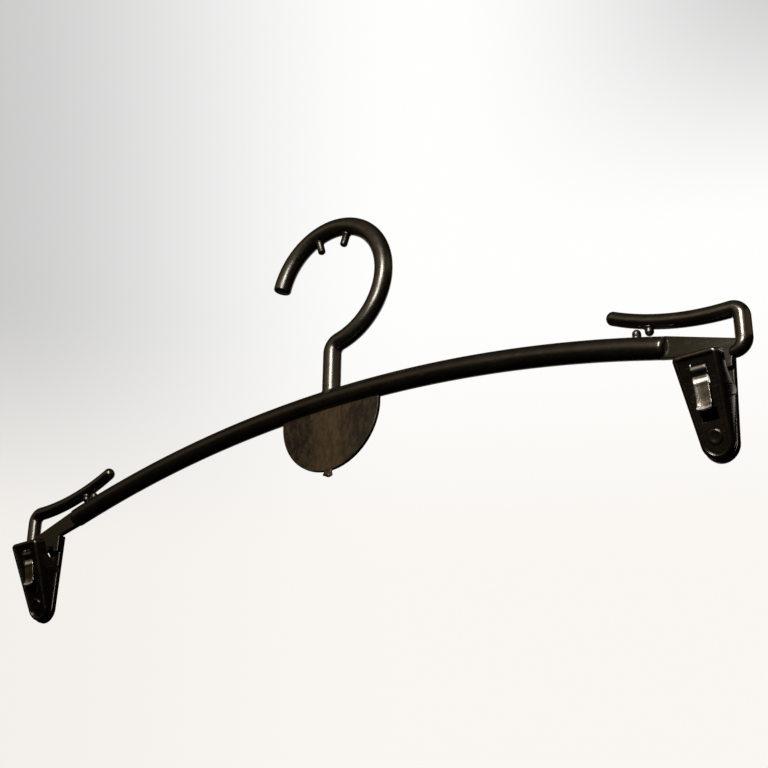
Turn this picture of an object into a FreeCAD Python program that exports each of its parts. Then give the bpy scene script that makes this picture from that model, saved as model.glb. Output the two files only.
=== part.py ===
"""Skirt hanger with springy strap arms and pinch clips, in millimetres.

The origin lies on the stem's axis, at the height of the hook's inner crown. +X runs along the bow, +Y goes
towards the back and +Z is up. The hanger is one moulding, divided here into its named regions, which meet face
to face. Each end carries a lever jaw and a strip spring. The right end is built, and the left end mirrors it.
"""
import FreeCAD, Part
import math
import os

# Bow: a round bar bent to a flat arc
bow_diameter = 6.9
bow_half_span = 123.0
bow_rise = 16.6
bow_end_fillet = 1.6

# Hook: a round rod with a stem, a neck bend and a wide arc
hook_rod_diameter = 6.3
hook_radius = 23.0
hook_offset = 1.7
hook_centre_height = 43.4
hook_tip_angle = 168.0
hook_tip_fillet = 1.0
neck_radius = 4.0

# Pegs under the hook's crown
peg_diameter = 2.7
peg_length = 4.5
peg_spread = 17.8
peg_turn = 1.4
peg_chamfer = 0.6

# Label tab: a half disc under the bow, with the stub of the moulding gate
tab_radius = 20.4
tab_drop = 5.0
tab_thickness = 1.4
gate_width = 2.6
gate_end_width = 1.5
gate_length = 1.5

# End plate: a flat web that carries on from the bow, with a short tongue for the clip
web_slope = 16.1
web_inner_height = 5.9
web_outer_height = 4.9
web_thickness = 2.0
clip_reach = 13.2
web_corner_fillet = 0.4
ledge_drop = 7.6

# Post and strap arm: a round rod that turns back over the bow
post_diameter = 5.0
post_reach = 23.0
post_height = 12.4
post_corner_radius = 3.2
post_set_in = 2.6
foot_bend_radius = 3.0
foot_drop = 0.38
foot_end_fillet = 1.6
arm_bend_radius = 85.0
arm_bend_angle = 25.3
arm_tip_diameter = 4.3
arm_sections = 6

# Beads that close the strap slot, one on the bow and one under the arm
bead_diameter = 2.7
bow_bead_set_in = 9.3
arm_bead_set_in = 5.2
bead_gap = 0.6

# Jaws: tapered outlines with round tips
jaw_top_width = 12.3
jaw_tip_width = 10.0
jaw_thickness = 2.0
jaw_drop = 33.7
jaw_root_drop = 1.0
grip_plane = 0.3

# Lever jaw: a plate with a raised rim, side cheeks and a rounded fulcrum nose
lever_tilt = 23.3
lever_length = 29.9
lever_top_width = 13.6
lever_tip_width = 9.5
lever_above_hinge = 12.05
lever_face_depth = 7.85
lever_rim_width = 1.5
lever_rim_height = 0.7
lever_panel_thickness = 1.1
lever_corner_radius = 1.4
cheek_thickness = 1.2
cheek_depth = 5.2
cheek_slope_top = 6.0
cheek_relief = 0.5
cheek_relief_start = 2.0
grip_land_length = 6.0
grip_gap = 0.05
hinge_drop = 14.1
nose_radius = 1.6
nose_seat_depth = 0.5
nose_clearance = 0.05
window_width = 5.2
window_low = 0.35
window_high = 8.8
lever_slot_low = 7.2
lever_slot_high = 3.9
boss_diameter = 4.2
boss_height = 0.5
boss_drop = 11.55

# Strip spring: a C-shaped strip through the tongue's slot and the lever's window
spring_width = 4.4
spring_thickness = 0.5
spring_reach = 9.8
spring_drop = 14.5
spring_seat_gap = 0.1
spring_slot_side_gap = 1.0
spring_slot_drop = 5.1
spring_slot_height = 4.7
spring_top_gap = 0.85

# One overrun serves every cut, and one tolerance finds the edges to round
overrun = 2.0
edge_tolerance_share = 0.01

# Spring outline, from the flared front lip to the back end: shares of the reach to the front and of the drop
spring_front_shares = [
    (0.827, 1.0), (0.788, 0.951), (0.773, 0.896), (0.786, 0.827), (0.821, 0.703), (0.855, 0.586), (0.878, 0.503),
    (0.872, 0.448), (0.880, 0.392), (0.934, 0.344), (0.995, 0.289), (0.985, 0.206), (0.82, 0.122), (0.41, 0.049),
    (0.0, 0.0),
]
# The back leg: shares of the leg's distance behind the bow's middle plane and of the drop
spring_back_shares = [
    (0.55, 0.012), (0.95, 0.098), (1.01, 0.215), (1.0, 0.353), (1.0, 0.49), (1.0, 0.627), (1.03, 0.764), (1.2, 0.90),
]

# Worked-out sizes
bow_radius = bow_diameter / 2
rod_radius = hook_rod_diameter / 2
post_radius = post_diameter / 2
bead_radius = bead_diameter / 2
bow_z = rod_radius - hook_radius - hook_centre_height
arc_radius = (bow_half_span ** 2 + bow_rise ** 2) / (2 * bow_rise)
end_angle = math.asin(bow_half_span / arc_radius)
end_z = bow_z - bow_rise
web_angle = math.radians(web_slope)
clip_x = bow_half_span + clip_reach
clip_z = end_z - clip_reach * math.tan(web_angle)
post_x = bow_half_span + post_reach
foot_x = post_x - foot_bend_radius
foot_z = end_z - (post_reach - foot_bend_radius) * math.tan(web_angle) - foot_drop
arm_z = foot_z + post_height
arm_root_x = post_x - post_corner_radius
hinge_y = grip_plane + nose_seat_depth - nose_radius - nose_clearance
hinge_z = clip_z - hinge_drop
jaw_tip_radius = jaw_tip_width / 2
lever_tip_radius = lever_tip_width / 2
lever_tip_z = lever_above_hinge - lever_length
tilt = math.radians(lever_tilt)
lever_face_y = -lever_face_depth
panel_front_y = lever_face_y + lever_rim_height
panel_back_y = panel_front_y + lever_panel_thickness


def vec(x, y, z):
    """A point or a direction."""
    return FreeCAD.Vector(x, y, z)


AXIS_X = vec(1, 0, 0)
AXIS_Y = vec(0, 1, 0)
AXIS_Z = vec(0, 0, 1)


def one_solid(shape):
    """The single solid that a boolean step leaves."""
    solids = shape.removeSplitter().Solids
    if len(solids) != 1:
        raise ValueError("expected one solid, found %d" % len(solids))
    return solids[0]


def plate(points, front, back):
    """A flat plate with a polygon outline of (x, z) points, between two depths."""
    corners = [vec(x, front, z) for x, z in points]
    face = Part.Face(Part.makePolygon(corners + corners[:1]))
    return face.extrude(AXIS_Y * (back - front))


def box(x_range, y_range, z_range):
    """A box between two limits on each axis."""
    size = [high - low for low, high in (x_range, y_range, z_range)]
    return Part.makeBox(*size, vec(x_range[0], y_range[0], z_range[0]))


def disc(radius, x, z, front, back):
    """A round plate whose axis runs along Y."""
    return Part.makeCylinder(radius, back - front, vec(x, front, z), AXIS_Y)


def edges_along(shape, direction, x, z, reach):
    """Edges parallel to a direction that pass near a place in the XZ plane."""
    found = []
    for edge in shape.Edges:
        if len(edge.Vertexes) != 2:
            continue
        start, end = (v.Point for v in edge.Vertexes)
        middle = edge.CenterOfMass
        if (end - start).cross(direction).Length < edge.Length * edge_tolerance_share:
            if math.hypot(middle.x - x, middle.z - z) < reach:
                found.append(edge)
    return found


def round_edges_at(shape, centre, radius):
    """Circular edges about a given centre."""
    found = []
    for edge in shape.Edges:
        curve = edge.Curve
        if isinstance(curve, Part.Circle) and curve.Center.distanceToPoint(centre) < radius * edge_tolerance_share:
            found.append(edge)
    return found


def rod_along(edges, radius):
    """A round rod swept along edges that meet smoothly."""
    path = Part.Wire(edges)
    first = edges[0]
    start = first.valueAt(first.FirstParameter)
    ring = Part.Wire(Part.makeCircle(radius, start, first.tangentAt(first.FirstParameter)))
    return path.makePipeShell([ring], True, False)


def arc_edge(centre_x, centre_z, radius, start_angle, end_angle_deg):
    """An arc in the XZ plane, with angles in degrees from +X towards +Z."""
    def at(angle):
        turn = math.radians(angle)
        return vec(centre_x + radius * math.cos(turn), 0, centre_z + radius * math.sin(turn))
    return Part.Arc(at(start_angle), at((start_angle + end_angle_deg) / 2), at(end_angle_deg)).toShape()


def bow_height(x):
    """Height of the bow's centreline."""
    return bow_z - arc_radius + math.sqrt(arc_radius ** 2 - x ** 2)


def make_bow():
    """The round bar, turned about the arc's centre, with filleted ends."""
    end = vec(-bow_half_span, 0, end_z)
    along = vec(math.cos(end_angle), 0, math.sin(end_angle))
    face = Part.Face(Part.Wire(Part.makeCircle(bow_radius, end, along)))
    centre = vec(0, 0, bow_z - arc_radius)
    bow = face.revolve(centre, AXIS_Y, math.degrees(2 * end_angle))
    rims = []
    for side in (-1, 1):
        rims += round_edges_at(bow, vec(side * bow_half_span, 0, end_z), bow_radius)
    return one_solid(bow.makeFillet(bow_end_fillet, rims))


def make_hook(bow):
    """Stem, neck bend and hook arc in one rod, standing on the bow."""
    centre_z = bow_z + hook_centre_height
    neck_x = neck_radius
    drop = math.sqrt((hook_radius + neck_radius) ** 2 - (neck_x + hook_offset) ** 2)
    neck_z = centre_z - drop
    meet_angle = math.degrees(math.atan2(neck_z - centre_z, neck_x + hook_offset))
    stem = Part.makeLine(vec(0, 0, bow_z), vec(0, 0, neck_z))
    neck = arc_edge(neck_x, neck_z, neck_radius, 180, 180 + meet_angle)
    crown = arc_edge(-hook_offset, centre_z, hook_radius, meet_angle, hook_tip_angle)
    rod = rod_along([stem, neck, crown], rod_radius)
    tip = crown.valueAt(crown.LastParameter)
    rod = rod.makeFillet(hook_tip_fillet, round_edges_at(rod, tip, rod_radius))
    return one_solid(rod.cut(bow))


def make_peg(hook, side):
    """One round peg that points from the crown to the hook's centre."""
    turn = math.radians(side * peg_spread + peg_turn)
    out = vec(math.sin(turn), 0, math.cos(turn))
    centre = vec(-hook_offset, 0, bow_z + hook_centre_height)
    tip_distance = hook_radius - rod_radius - peg_length
    tip = centre + out * tip_distance
    peg = Part.makeCylinder(peg_diameter / 2, hook_radius - tip_distance, tip, out)
    peg = peg.makeChamfer(peg_chamfer, round_edges_at(peg, tip, peg_diameter))
    return one_solid(peg.cut(hook))


def make_label_tab(bow):
    """Thin half disc with the gate stub at its lowest point."""
    front, back = -tab_thickness / 2, tab_thickness / 2
    centre_z = bow_z - tab_drop
    half = disc(tab_radius, 0, centre_z, front, back)
    above = box((-tab_radius - overrun, tab_radius + overrun), (front - overrun, back + overrun),
                (centre_z, centre_z + tab_radius + overrun))
    strip = box((-tab_radius, tab_radius), (front, back), (centre_z, bow_z))
    low = centre_z - tab_radius
    gate = plate([(-gate_width / 2, low + gate_length), (gate_width / 2, low + gate_length),
                  (gate_end_width / 2, low - gate_length), (-gate_end_width / 2, low - gate_length)], front, back)
    return one_solid(half.cut(above).fuse([strip, gate]).cut(bow))


def jaw_half_width(z):
    """Half the fixed jaw's width at a height, from the lever's top to where the round tip starts."""
    top = hinge_z + lever_above_hinge
    low = clip_z - jaw_drop + jaw_tip_radius
    share = (top - z) / (top - low)
    return jaw_top_width / 2 + share * (jaw_tip_width - jaw_top_width) / 2


def make_spring_slot():
    """Cutter for the slot in the tongue that the spring passes through."""
    half = spring_width / 2 + spring_slot_side_gap
    top = clip_z - spring_slot_drop
    depth = web_thickness + jaw_thickness + overrun
    return box((clip_x - half, clip_x + half), (-depth, depth), (top - spring_slot_height, top))


def make_post():
    """Upright rod with a foot that turns in under the web, and the corner that leads into the arm."""
    foot = arc_edge(foot_x, foot_z + foot_bend_radius, foot_bend_radius, -90, 0)
    upright = Part.makeLine(vec(post_x, 0, foot_z + foot_bend_radius), vec(post_x, 0, arm_z - post_corner_radius))
    corner = arc_edge(arm_root_x, arm_z - post_corner_radius, post_corner_radius, 0, 90)
    rod = rod_along([foot, upright, corner], post_radius)
    return one_solid(rod.makeFillet(foot_end_fillet, round_edges_at(rod, vec(foot_x, 0, foot_z), post_radius)))


def make_end_plate(bow, post):
    """Flat web from the bow to the post, with the tongue that carries the clip."""
    front, back = -web_thickness / 2, web_thickness / 2
    along = vec(math.cos(web_angle), 0, -math.sin(web_angle))
    up = vec(math.sin(web_angle), 0, math.cos(web_angle))
    start = vec(bow_half_span, 0, end_z) - along * bow_end_fillet
    stop = vec(bow_half_span, 0, end_z) + along * ((post_reach - post_set_in) / math.cos(web_angle))
    inner, outer = up * (web_inner_height / 2), up * (web_outer_height / 2)
    corners = [start + inner, stop + outer, stop - outer, start - inner]
    web = plate([(p.x, p.z) for p in corners], front, back)
    round_end = disc(web_outer_height / 2, stop.x, stop.z, front, back)
    ledge_z = clip_z - ledge_drop
    top, low = jaw_half_width(clip_z), jaw_half_width(ledge_z)
    tongue = plate([(clip_x - top, clip_z), (clip_x + top, clip_z), (clip_x + low, ledge_z),
                    (clip_x - low, ledge_z)], front, back)
    whole = web.fuse([round_end, tongue]).removeSplitter()
    lower_slope = (corners[2].z - corners[3].z) / (corners[2].x - corners[3].x)
    for side in (-1, 1):
        corner_x = clip_x + side * top
        corner_z = corners[3].z + (corner_x - corners[3].x) * lower_slope
        bend = edges_along(whole, AXIS_Y, corner_x, corner_z, web_corner_fillet)
        whole = whole.makeFillet(web_corner_fillet, bend)
    return one_solid(whole.cut(make_spring_slot()).cut(bow).cut(post))


def make_fixed_jaw(end_plate):
    """Back jaw: a tapered plate behind the tongue, with a groove for the lever's nose."""
    front, back = grip_plane, grip_plane + jaw_thickness
    top = clip_z - jaw_root_drop
    low = clip_z - jaw_drop + jaw_tip_radius
    wide, narrow = jaw_half_width(top), jaw_half_width(low)
    body = plate([(clip_x - wide, top), (clip_x + wide, top), (clip_x + narrow, low), (clip_x - narrow, low)],
                 front, back)
    body = body.fuse(disc(jaw_tip_radius, clip_x, low, front, back))
    seat = Part.makeCylinder(nose_radius + nose_clearance, jaw_top_width + 2 * overrun,
                             vec(clip_x - jaw_top_width / 2 - overrun, hinge_y, hinge_z), AXIS_X)
    return one_solid(body.cut([seat, make_spring_slot(), end_plate]))


def arm_point(angle):
    """Point of the arm's centreline at an angle along its bend, in degrees."""
    turn = math.radians(angle)
    return vec(arm_root_x - arm_bend_radius * math.sin(turn), 0, arm_z + arm_bend_radius * (1 - math.cos(turn)))


def arm_radius(angle):
    """Radius of the tapering arm at an angle along its bend."""
    share = angle / arm_bend_angle
    return post_radius + share * (arm_tip_diameter / 2 - post_radius)


def arm_angle_at(x):
    """Angle along the arm's bend that lies at a place along X."""
    return math.degrees(math.asin((arm_root_x - x) / arm_bend_radius))


def make_strap_arm():
    """Tapering rod that curves up over the bow, with a round tip."""
    rings = []
    for index in range(arm_sections + 1):
        angle = arm_bend_angle * index / arm_sections
        turn = math.radians(angle)
        along = vec(-math.cos(turn), 0, math.sin(turn))
        rings.append(Part.Wire(Part.makeCircle(arm_radius(angle), arm_point(angle), along)))
    arm = Part.makeLoft(rings, True, False)
    tip = Part.makeSphere(arm_tip_diameter / 2, arm_point(arm_bend_angle))
    return one_solid(arm.fuse(tip))


def make_bead(x, root_z, tip_z, carrier):
    """Round peg with a domed end, standing on the rod that carries it."""
    side = 1 if tip_z > root_z else -1
    dome_z = tip_z - side * bead_radius
    stem = Part.makeCylinder(bead_radius, abs(dome_z - root_z), vec(x, 0, min(dome_z, root_z)))
    dome = Part.makeSphere(bead_radius, vec(x, 0, dome_z))
    return one_solid(stem.fuse(dome).cut(carrier))


def make_bow_bead(bow):
    """Bead on top of the bow, reaching up to the arm."""
    x = bow_half_span - bow_bead_set_in
    angle = arm_angle_at(x)
    tip_z = arm_point(angle).z - arm_radius(angle) - bead_gap
    return make_bead(x, bow_height(x), tip_z, bow)


def make_arm_bead(arm):
    """Bead under the arm, reaching down to the bow."""
    x = bow_half_span - arm_bead_set_in
    tip_z = bow_height(x) + bow_radius + bead_gap
    return make_bead(x, arm_point(arm_angle_at(x)).z, tip_z, arm)


def grip_line(z, gap):
    """Lever-frame depth of the grip plane at a height along the lever, less a gap."""
    return (grip_plane - hinge_y - gap + z * math.sin(tilt)) / math.cos(tilt)


def lever_outline(inset, rise):
    """Lever outline moved in by an inset and up by a rise, as a plate through the whole lever."""
    front, back = lever_face_y - overrun, nose_radius + overrun
    low = lever_tip_z + lever_tip_radius
    wide, narrow = lever_top_width / 2 - inset, lever_tip_radius - inset
    top = lever_above_hinge - inset + rise
    body = plate([(-wide, top), (wide, top), (narrow, low), (-narrow, low)], front, back)
    return body.fuse(disc(narrow, 0, low, front, back)).removeSplitter()


def lever_side_profile():
    """Side view of the lever as a solid across its width: plate, cheeks and grip wedge."""
    cheek_y = lever_face_y + cheek_depth
    land_z = lever_tip_z + grip_land_length
    points = [
        (lever_face_y, lever_above_hinge), (cheek_y, lever_above_hinge), (cheek_y, cheek_slope_top),
        (0, nose_radius), (0, -nose_radius),
        (grip_line(-cheek_relief_start, cheek_relief), -cheek_relief_start),
        (grip_line(land_z, cheek_relief), land_z), (grip_line(land_z, grip_gap), land_z),
        (grip_line(lever_tip_z, grip_gap), lever_tip_z), (lever_face_y, lever_tip_z),
    ]
    half = lever_top_width / 2
    corners = [vec(-half, y, z) for y, z in points]
    return Part.Face(Part.makePolygon(corners + corners[:1])).extrude(AXIS_X * lever_top_width)


def make_lever_jaw():
    """Front jaw in its own frame about the hinge axis, then tilted into place."""
    outline = lever_outline(0, 0)
    for side in (-1, 1):
        corner = edges_along(outline, AXIS_Y, side * lever_top_width / 2, lever_above_hinge, lever_corner_radius)
        outline = outline.makeFillet(lever_corner_radius, corner)
    nose_half = lever_top_width / 2
    nose = Part.makeCylinder(nose_radius, lever_top_width, vec(-nose_half, 0, 0), AXIS_X)
    body = lever_side_profile().fuse(nose).common(outline)
    wide = lever_top_width
    deep = nose_radius + overrun
    hollow = lever_outline(cheek_thickness, cheek_thickness + overrun)
    land_z = lever_tip_z + grip_land_length
    hollow = hollow.common(box((-wide, wide), (panel_back_y, deep), (land_z, lever_above_hinge + overrun)))
    recess = lever_outline(lever_rim_width, 0)
    recess = recess.common(box((-wide, wide), (lever_face_y - overrun, panel_front_y),
                               (lever_tip_z, lever_above_hinge)))
    half = window_width / 2
    window = box((-half, half), (lever_face_y, deep), (window_low, window_high))
    slot = box((-half, half), (lever_face_y, deep), (-lever_slot_low, -lever_slot_high))
    boss = disc(boss_diameter / 2, 0, -boss_drop, panel_front_y - boss_height, panel_back_y)
    lever = body.cut([hollow, recess, window, slot]).fuse(boss)
    lever = one_solid(lever)
    lever.Placement = FreeCAD.Placement(vec(clip_x, hinge_y, hinge_z), FreeCAD.Rotation(AXIS_X, lever_tilt))
    return lever


def make_clip_spring():
    """Strip swept along a smooth curve from the lever's face, through the slot, to the back of the fixed jaw."""
    top_z = clip_z - spring_slot_drop - spring_top_gap
    back_y = grip_plane + jaw_thickness + spring_seat_gap + spring_thickness / 2
    points = [vec(0, -reach * spring_reach, top_z - drop * spring_drop) for reach, drop in spring_front_shares]
    points += [vec(0, reach * back_y, top_z - drop * spring_drop) for reach, drop in spring_back_shares]
    curve = Part.BSplineCurve()
    curve.interpolate(points)
    sides = []
    for side in (-1, 1):
        shifted = []
        for point in points:
            along = vec(*curve.tangent(curve.parameter(point))[0])
            shifted.append(point + along.cross(AXIS_X) * (side * spring_thickness / 2))
        edge = Part.BSplineCurve()
        edge.interpolate(shifted)
        sides.append(edge)
    first, second = sides
    ends = [Part.makeLine(first.EndPoint, second.EndPoint), Part.makeLine(second.StartPoint, first.StartPoint)]
    outline = Part.Wire(Part.__sortEdges__([first.toShape(), second.toShape()] + ends))
    strip = Part.Face(outline).extrude(AXIS_X * spring_width)
    strip.translate(vec(clip_x - spring_width / 2, 0, 0))
    return one_solid(strip)


def make_right_end(bow):
    """Every region and piece at the right end, by name."""
    post = make_post()
    end_plate = make_end_plate(bow, post)
    arm = make_strap_arm()
    return {
        "end_plate": end_plate,
        "strap_post": post,
        "strap_arm": arm,
        "arm_bead": make_arm_bead(arm),
        "bow_bead": make_bow_bead(bow),
        "fixed_jaw": make_fixed_jaw(end_plate),
        "lever_jaw": make_lever_jaw(),
        "clip_spring": make_clip_spring(),
    }


def make_nodes():
    """All nodes of the hanger by name."""
    bow = make_bow()
    hook = make_hook(bow)
    nodes = {"bow": bow, "hook": hook, "label_tab": make_label_tab(bow)}
    nodes["left_tag_peg"] = make_peg(hook, -1)
    nodes["right_tag_peg"] = make_peg(hook, 1)
    for name, shape in make_right_end(bow).items():
        nodes["right_" + name] = shape
        nodes["left_" + name] = shape.mirror(vec(0, 0, 0), AXIS_X)
    return nodes


os.makedirs("parts", exist_ok=True)
for node_name, node_shape in make_nodes().items():
    node_shape.exportStep("parts/%s.step" % node_name)
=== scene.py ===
"""Looks of a skirt hanger: a warm near-black moulding with springy strap arms, and two sprung pinch clips.

Lengths are in metres. The origin lies on the stem's axis at the height of the hook's inner crown, +X runs along
the bow, +Y goes to the back and +Z is up. Every surface is worked out as whole arrays of points. The right end is
worked out and the left end mirrors it.
"""
import math
from types import SimpleNamespace

import bmesh
import bpy
import numpy as np
from mathutils import Matrix


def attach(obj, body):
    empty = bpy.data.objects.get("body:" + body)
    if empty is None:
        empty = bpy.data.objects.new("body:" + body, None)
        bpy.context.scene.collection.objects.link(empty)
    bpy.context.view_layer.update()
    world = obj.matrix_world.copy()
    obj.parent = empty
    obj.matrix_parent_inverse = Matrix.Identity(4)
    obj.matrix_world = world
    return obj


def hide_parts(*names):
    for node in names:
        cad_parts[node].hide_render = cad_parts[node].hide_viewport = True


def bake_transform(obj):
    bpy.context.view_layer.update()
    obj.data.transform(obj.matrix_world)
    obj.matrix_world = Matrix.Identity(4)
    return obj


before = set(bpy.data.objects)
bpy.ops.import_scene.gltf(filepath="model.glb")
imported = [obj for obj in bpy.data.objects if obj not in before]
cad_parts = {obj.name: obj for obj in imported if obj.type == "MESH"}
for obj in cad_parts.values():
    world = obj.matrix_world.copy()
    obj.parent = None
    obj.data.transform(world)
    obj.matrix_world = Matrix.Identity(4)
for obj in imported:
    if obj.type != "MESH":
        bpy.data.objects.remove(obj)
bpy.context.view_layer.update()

bl_info = {
    "name": "Skirt Hanger Looks",
    "version": (1, 0, 0),
    "blender": (4, 5, 0),
    "location": "View3D > Sidebar > Hanger",
    "description": "Builds the visible surfaces of a skirt hanger around its packed model",
    "category": "Object",
}

# Each end's sign along X
ENDS = {"left": -1.0, "right": 1.0}

# Points around thick, middling and thin rods, and along a quarter-round edge
ROUND, ARM_ROUND, THIN_ROUND = 56, 44, 32
QUARTER = 7

# Points along the runs of each rod, around the tab and along the spring
BOW_STATIONS = 221
STEM_STATIONS, NECK_STATIONS, CROWN_STATIONS = 24, 24, 150
FOOT_STATIONS, POST_STATIONS, CORNER_STATIONS, ARM_STATIONS = 20, 16, 26, 90
TAB_POINTS = 97
SPRING_STATIONS = 240

# Points nearer than this are one, shorter edges are dropped, and steeper folds stay sharp
MERGE_DISTANCE, EMPTY_EDGE, SHARP_FOLD = 2e-6, 1e-6, math.radians(38.0)

# Lengths that no user would change: sunk seams, hairline offsets and soft inner edges
TAB_TOP_DROP = 0.0012
GATE_SWAY = 0.0005
JAW_TOP_CORNER = 0.0005
HOLE_TOLERANCE, TINY = 1e-7, 1e-6
PANEL_BEVEL = 0.00015
PANEL_TOP_SEAM = 0.0009
PANEL_SIDE_SEAM, PANEL_TIP_SEAM = 0.0011, 0.0013
RIM_OVERLAP, RIM_SINK = 0.00005, 0.0003
CHEEK_SOFT, CHEEK_SOFT_OUT, CHEEK_HAIR = 0.0002, 0.00006, 2e-5
BOSS_SINK = 0.0004
STRIP_EDGE = 0.00016

# Rounding of the web's end, the foot and the arm's tip, as shares of their half thickness
WEB_END_ROUND, FOOT_ROUND, TIP_ROUND = 0.96, 0.92, 0.90

# The strip spring's line as shares of its reach and drop, from the lip to the slot, then down the back leg
SPRING_FRONT = np.array([
    (0.812, 1.065), (0.772, 1.015), (0.757, 0.955), (0.772, 0.865), (0.821, 0.703), (0.855, 0.586), (0.878, 0.503),
    (0.872, 0.448), (0.880, 0.392), (0.934, 0.344), (0.995, 0.289), (0.985, 0.206), (0.82, 0.122), (0.41, 0.049),
    (0.0, 0.0)])
SPRING_BACK = np.array([
    (0.55, 0.012), (0.95, 0.098), (1.01, 0.215), (1.0, 0.353), (1.0, 0.49), (1.0, 0.627), (1.03, 0.764), (1.2, 0.90)])

# Painted highlights on the spring's bends: share of its drop, reach in metres and amount; above the last share it is
# duller and darkened by painted shade
SPRING_PAINTED_HIGHLIGHTS = ((1.055, 0.0013, 1.0), (0.495, 0.0008, 1.0), (0.25, 0.0012, 0.1))
SPRING_DULL_SHADED_SHARE = 0.44
PAINTED_HIGHLIGHT_STEEL = (0.90, 0.89, 0.87, 1.0)

# Places along X between which the plastic goes from less glossy, its colour darkened by painted shade, to glossy
LEFT_DULL_AND_SHADED, LEFT_GLOSSY_AND_UNSHADED = -0.140, -0.040

# Stage: lamps as place, size and watts, the way to the warm glow, and the camera's place, turns and lens
LAMPS = {
    "key_softbox": (np.array([0.188, -0.468, 0.190]), (0.22, 0.14), 2.0),
    "low_softbox": (np.array([0.175, -0.468, -0.005]), (0.20, 0.11), 1.2),
}
LAMP_TINT = (1.0, 0.97, 0.90)
LAMP_AIM = np.array([0.0, 0.0, -0.06])
GLOW_WAY = np.array([0.347, -0.837, 0.423])
GLOW_TINT = (1.0, 0.77, 0.49, 1.0)
UP_WAY, ACROSS_WAY, AWAY_WAY, FILL_WAY = (0.0, 0.0, 1.0), (0.793, 0.609, 0.0), (-0.609, 0.793, 0.0), (0.978, 0.208, 0.0)
LOW_BACKDROP, HIGH_BACKDROP = (0.950, 0.925, 0.885, 1.0), (0.995, 0.995, 0.990, 1.0)
FLOOR_HEIGHT, FLOOR_GLOW = -0.45, 0.75
CAMERA_PLACE = (0.2860, -0.3435, -0.26545)
CAMERA_YAW, CAMERA_PITCH, CAMERA_ROLL = (math.radians(v) for v in (-37.53, -25.00, 0.74))
CAMERA_LENS, CAMERA_SENSOR, CAMERA_NEAR = 68.89, 36.0, 0.01


def length(name, default, description):
    """A length in metres for the sidebar."""
    return bpy.props.FloatProperty(name=name, description=description, default=default, min=0.0, precision=5,
                                   unit="LENGTH")


def angle(name, degrees, description):
    """An angle for the sidebar, given in degrees."""
    return bpy.props.FloatProperty(name=name, description=description, default=math.radians(degrees), precision=4,
                                   unit="ROTATION", subtype="ANGLE")


def share(name, default, description):
    """A number from 0 to 1 for the sidebar."""
    return bpy.props.FloatProperty(name=name, description=description, default=default, min=0.0, max=1.0,
                                   subtype="FACTOR")


def colour(name, default, description):
    """A linear colour for the sidebar."""
    return bpy.props.FloatVectorProperty(name=name, description=description, default=default, size=3, min=0.0,
                                         max=1.0, subtype="COLOR")


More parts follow.
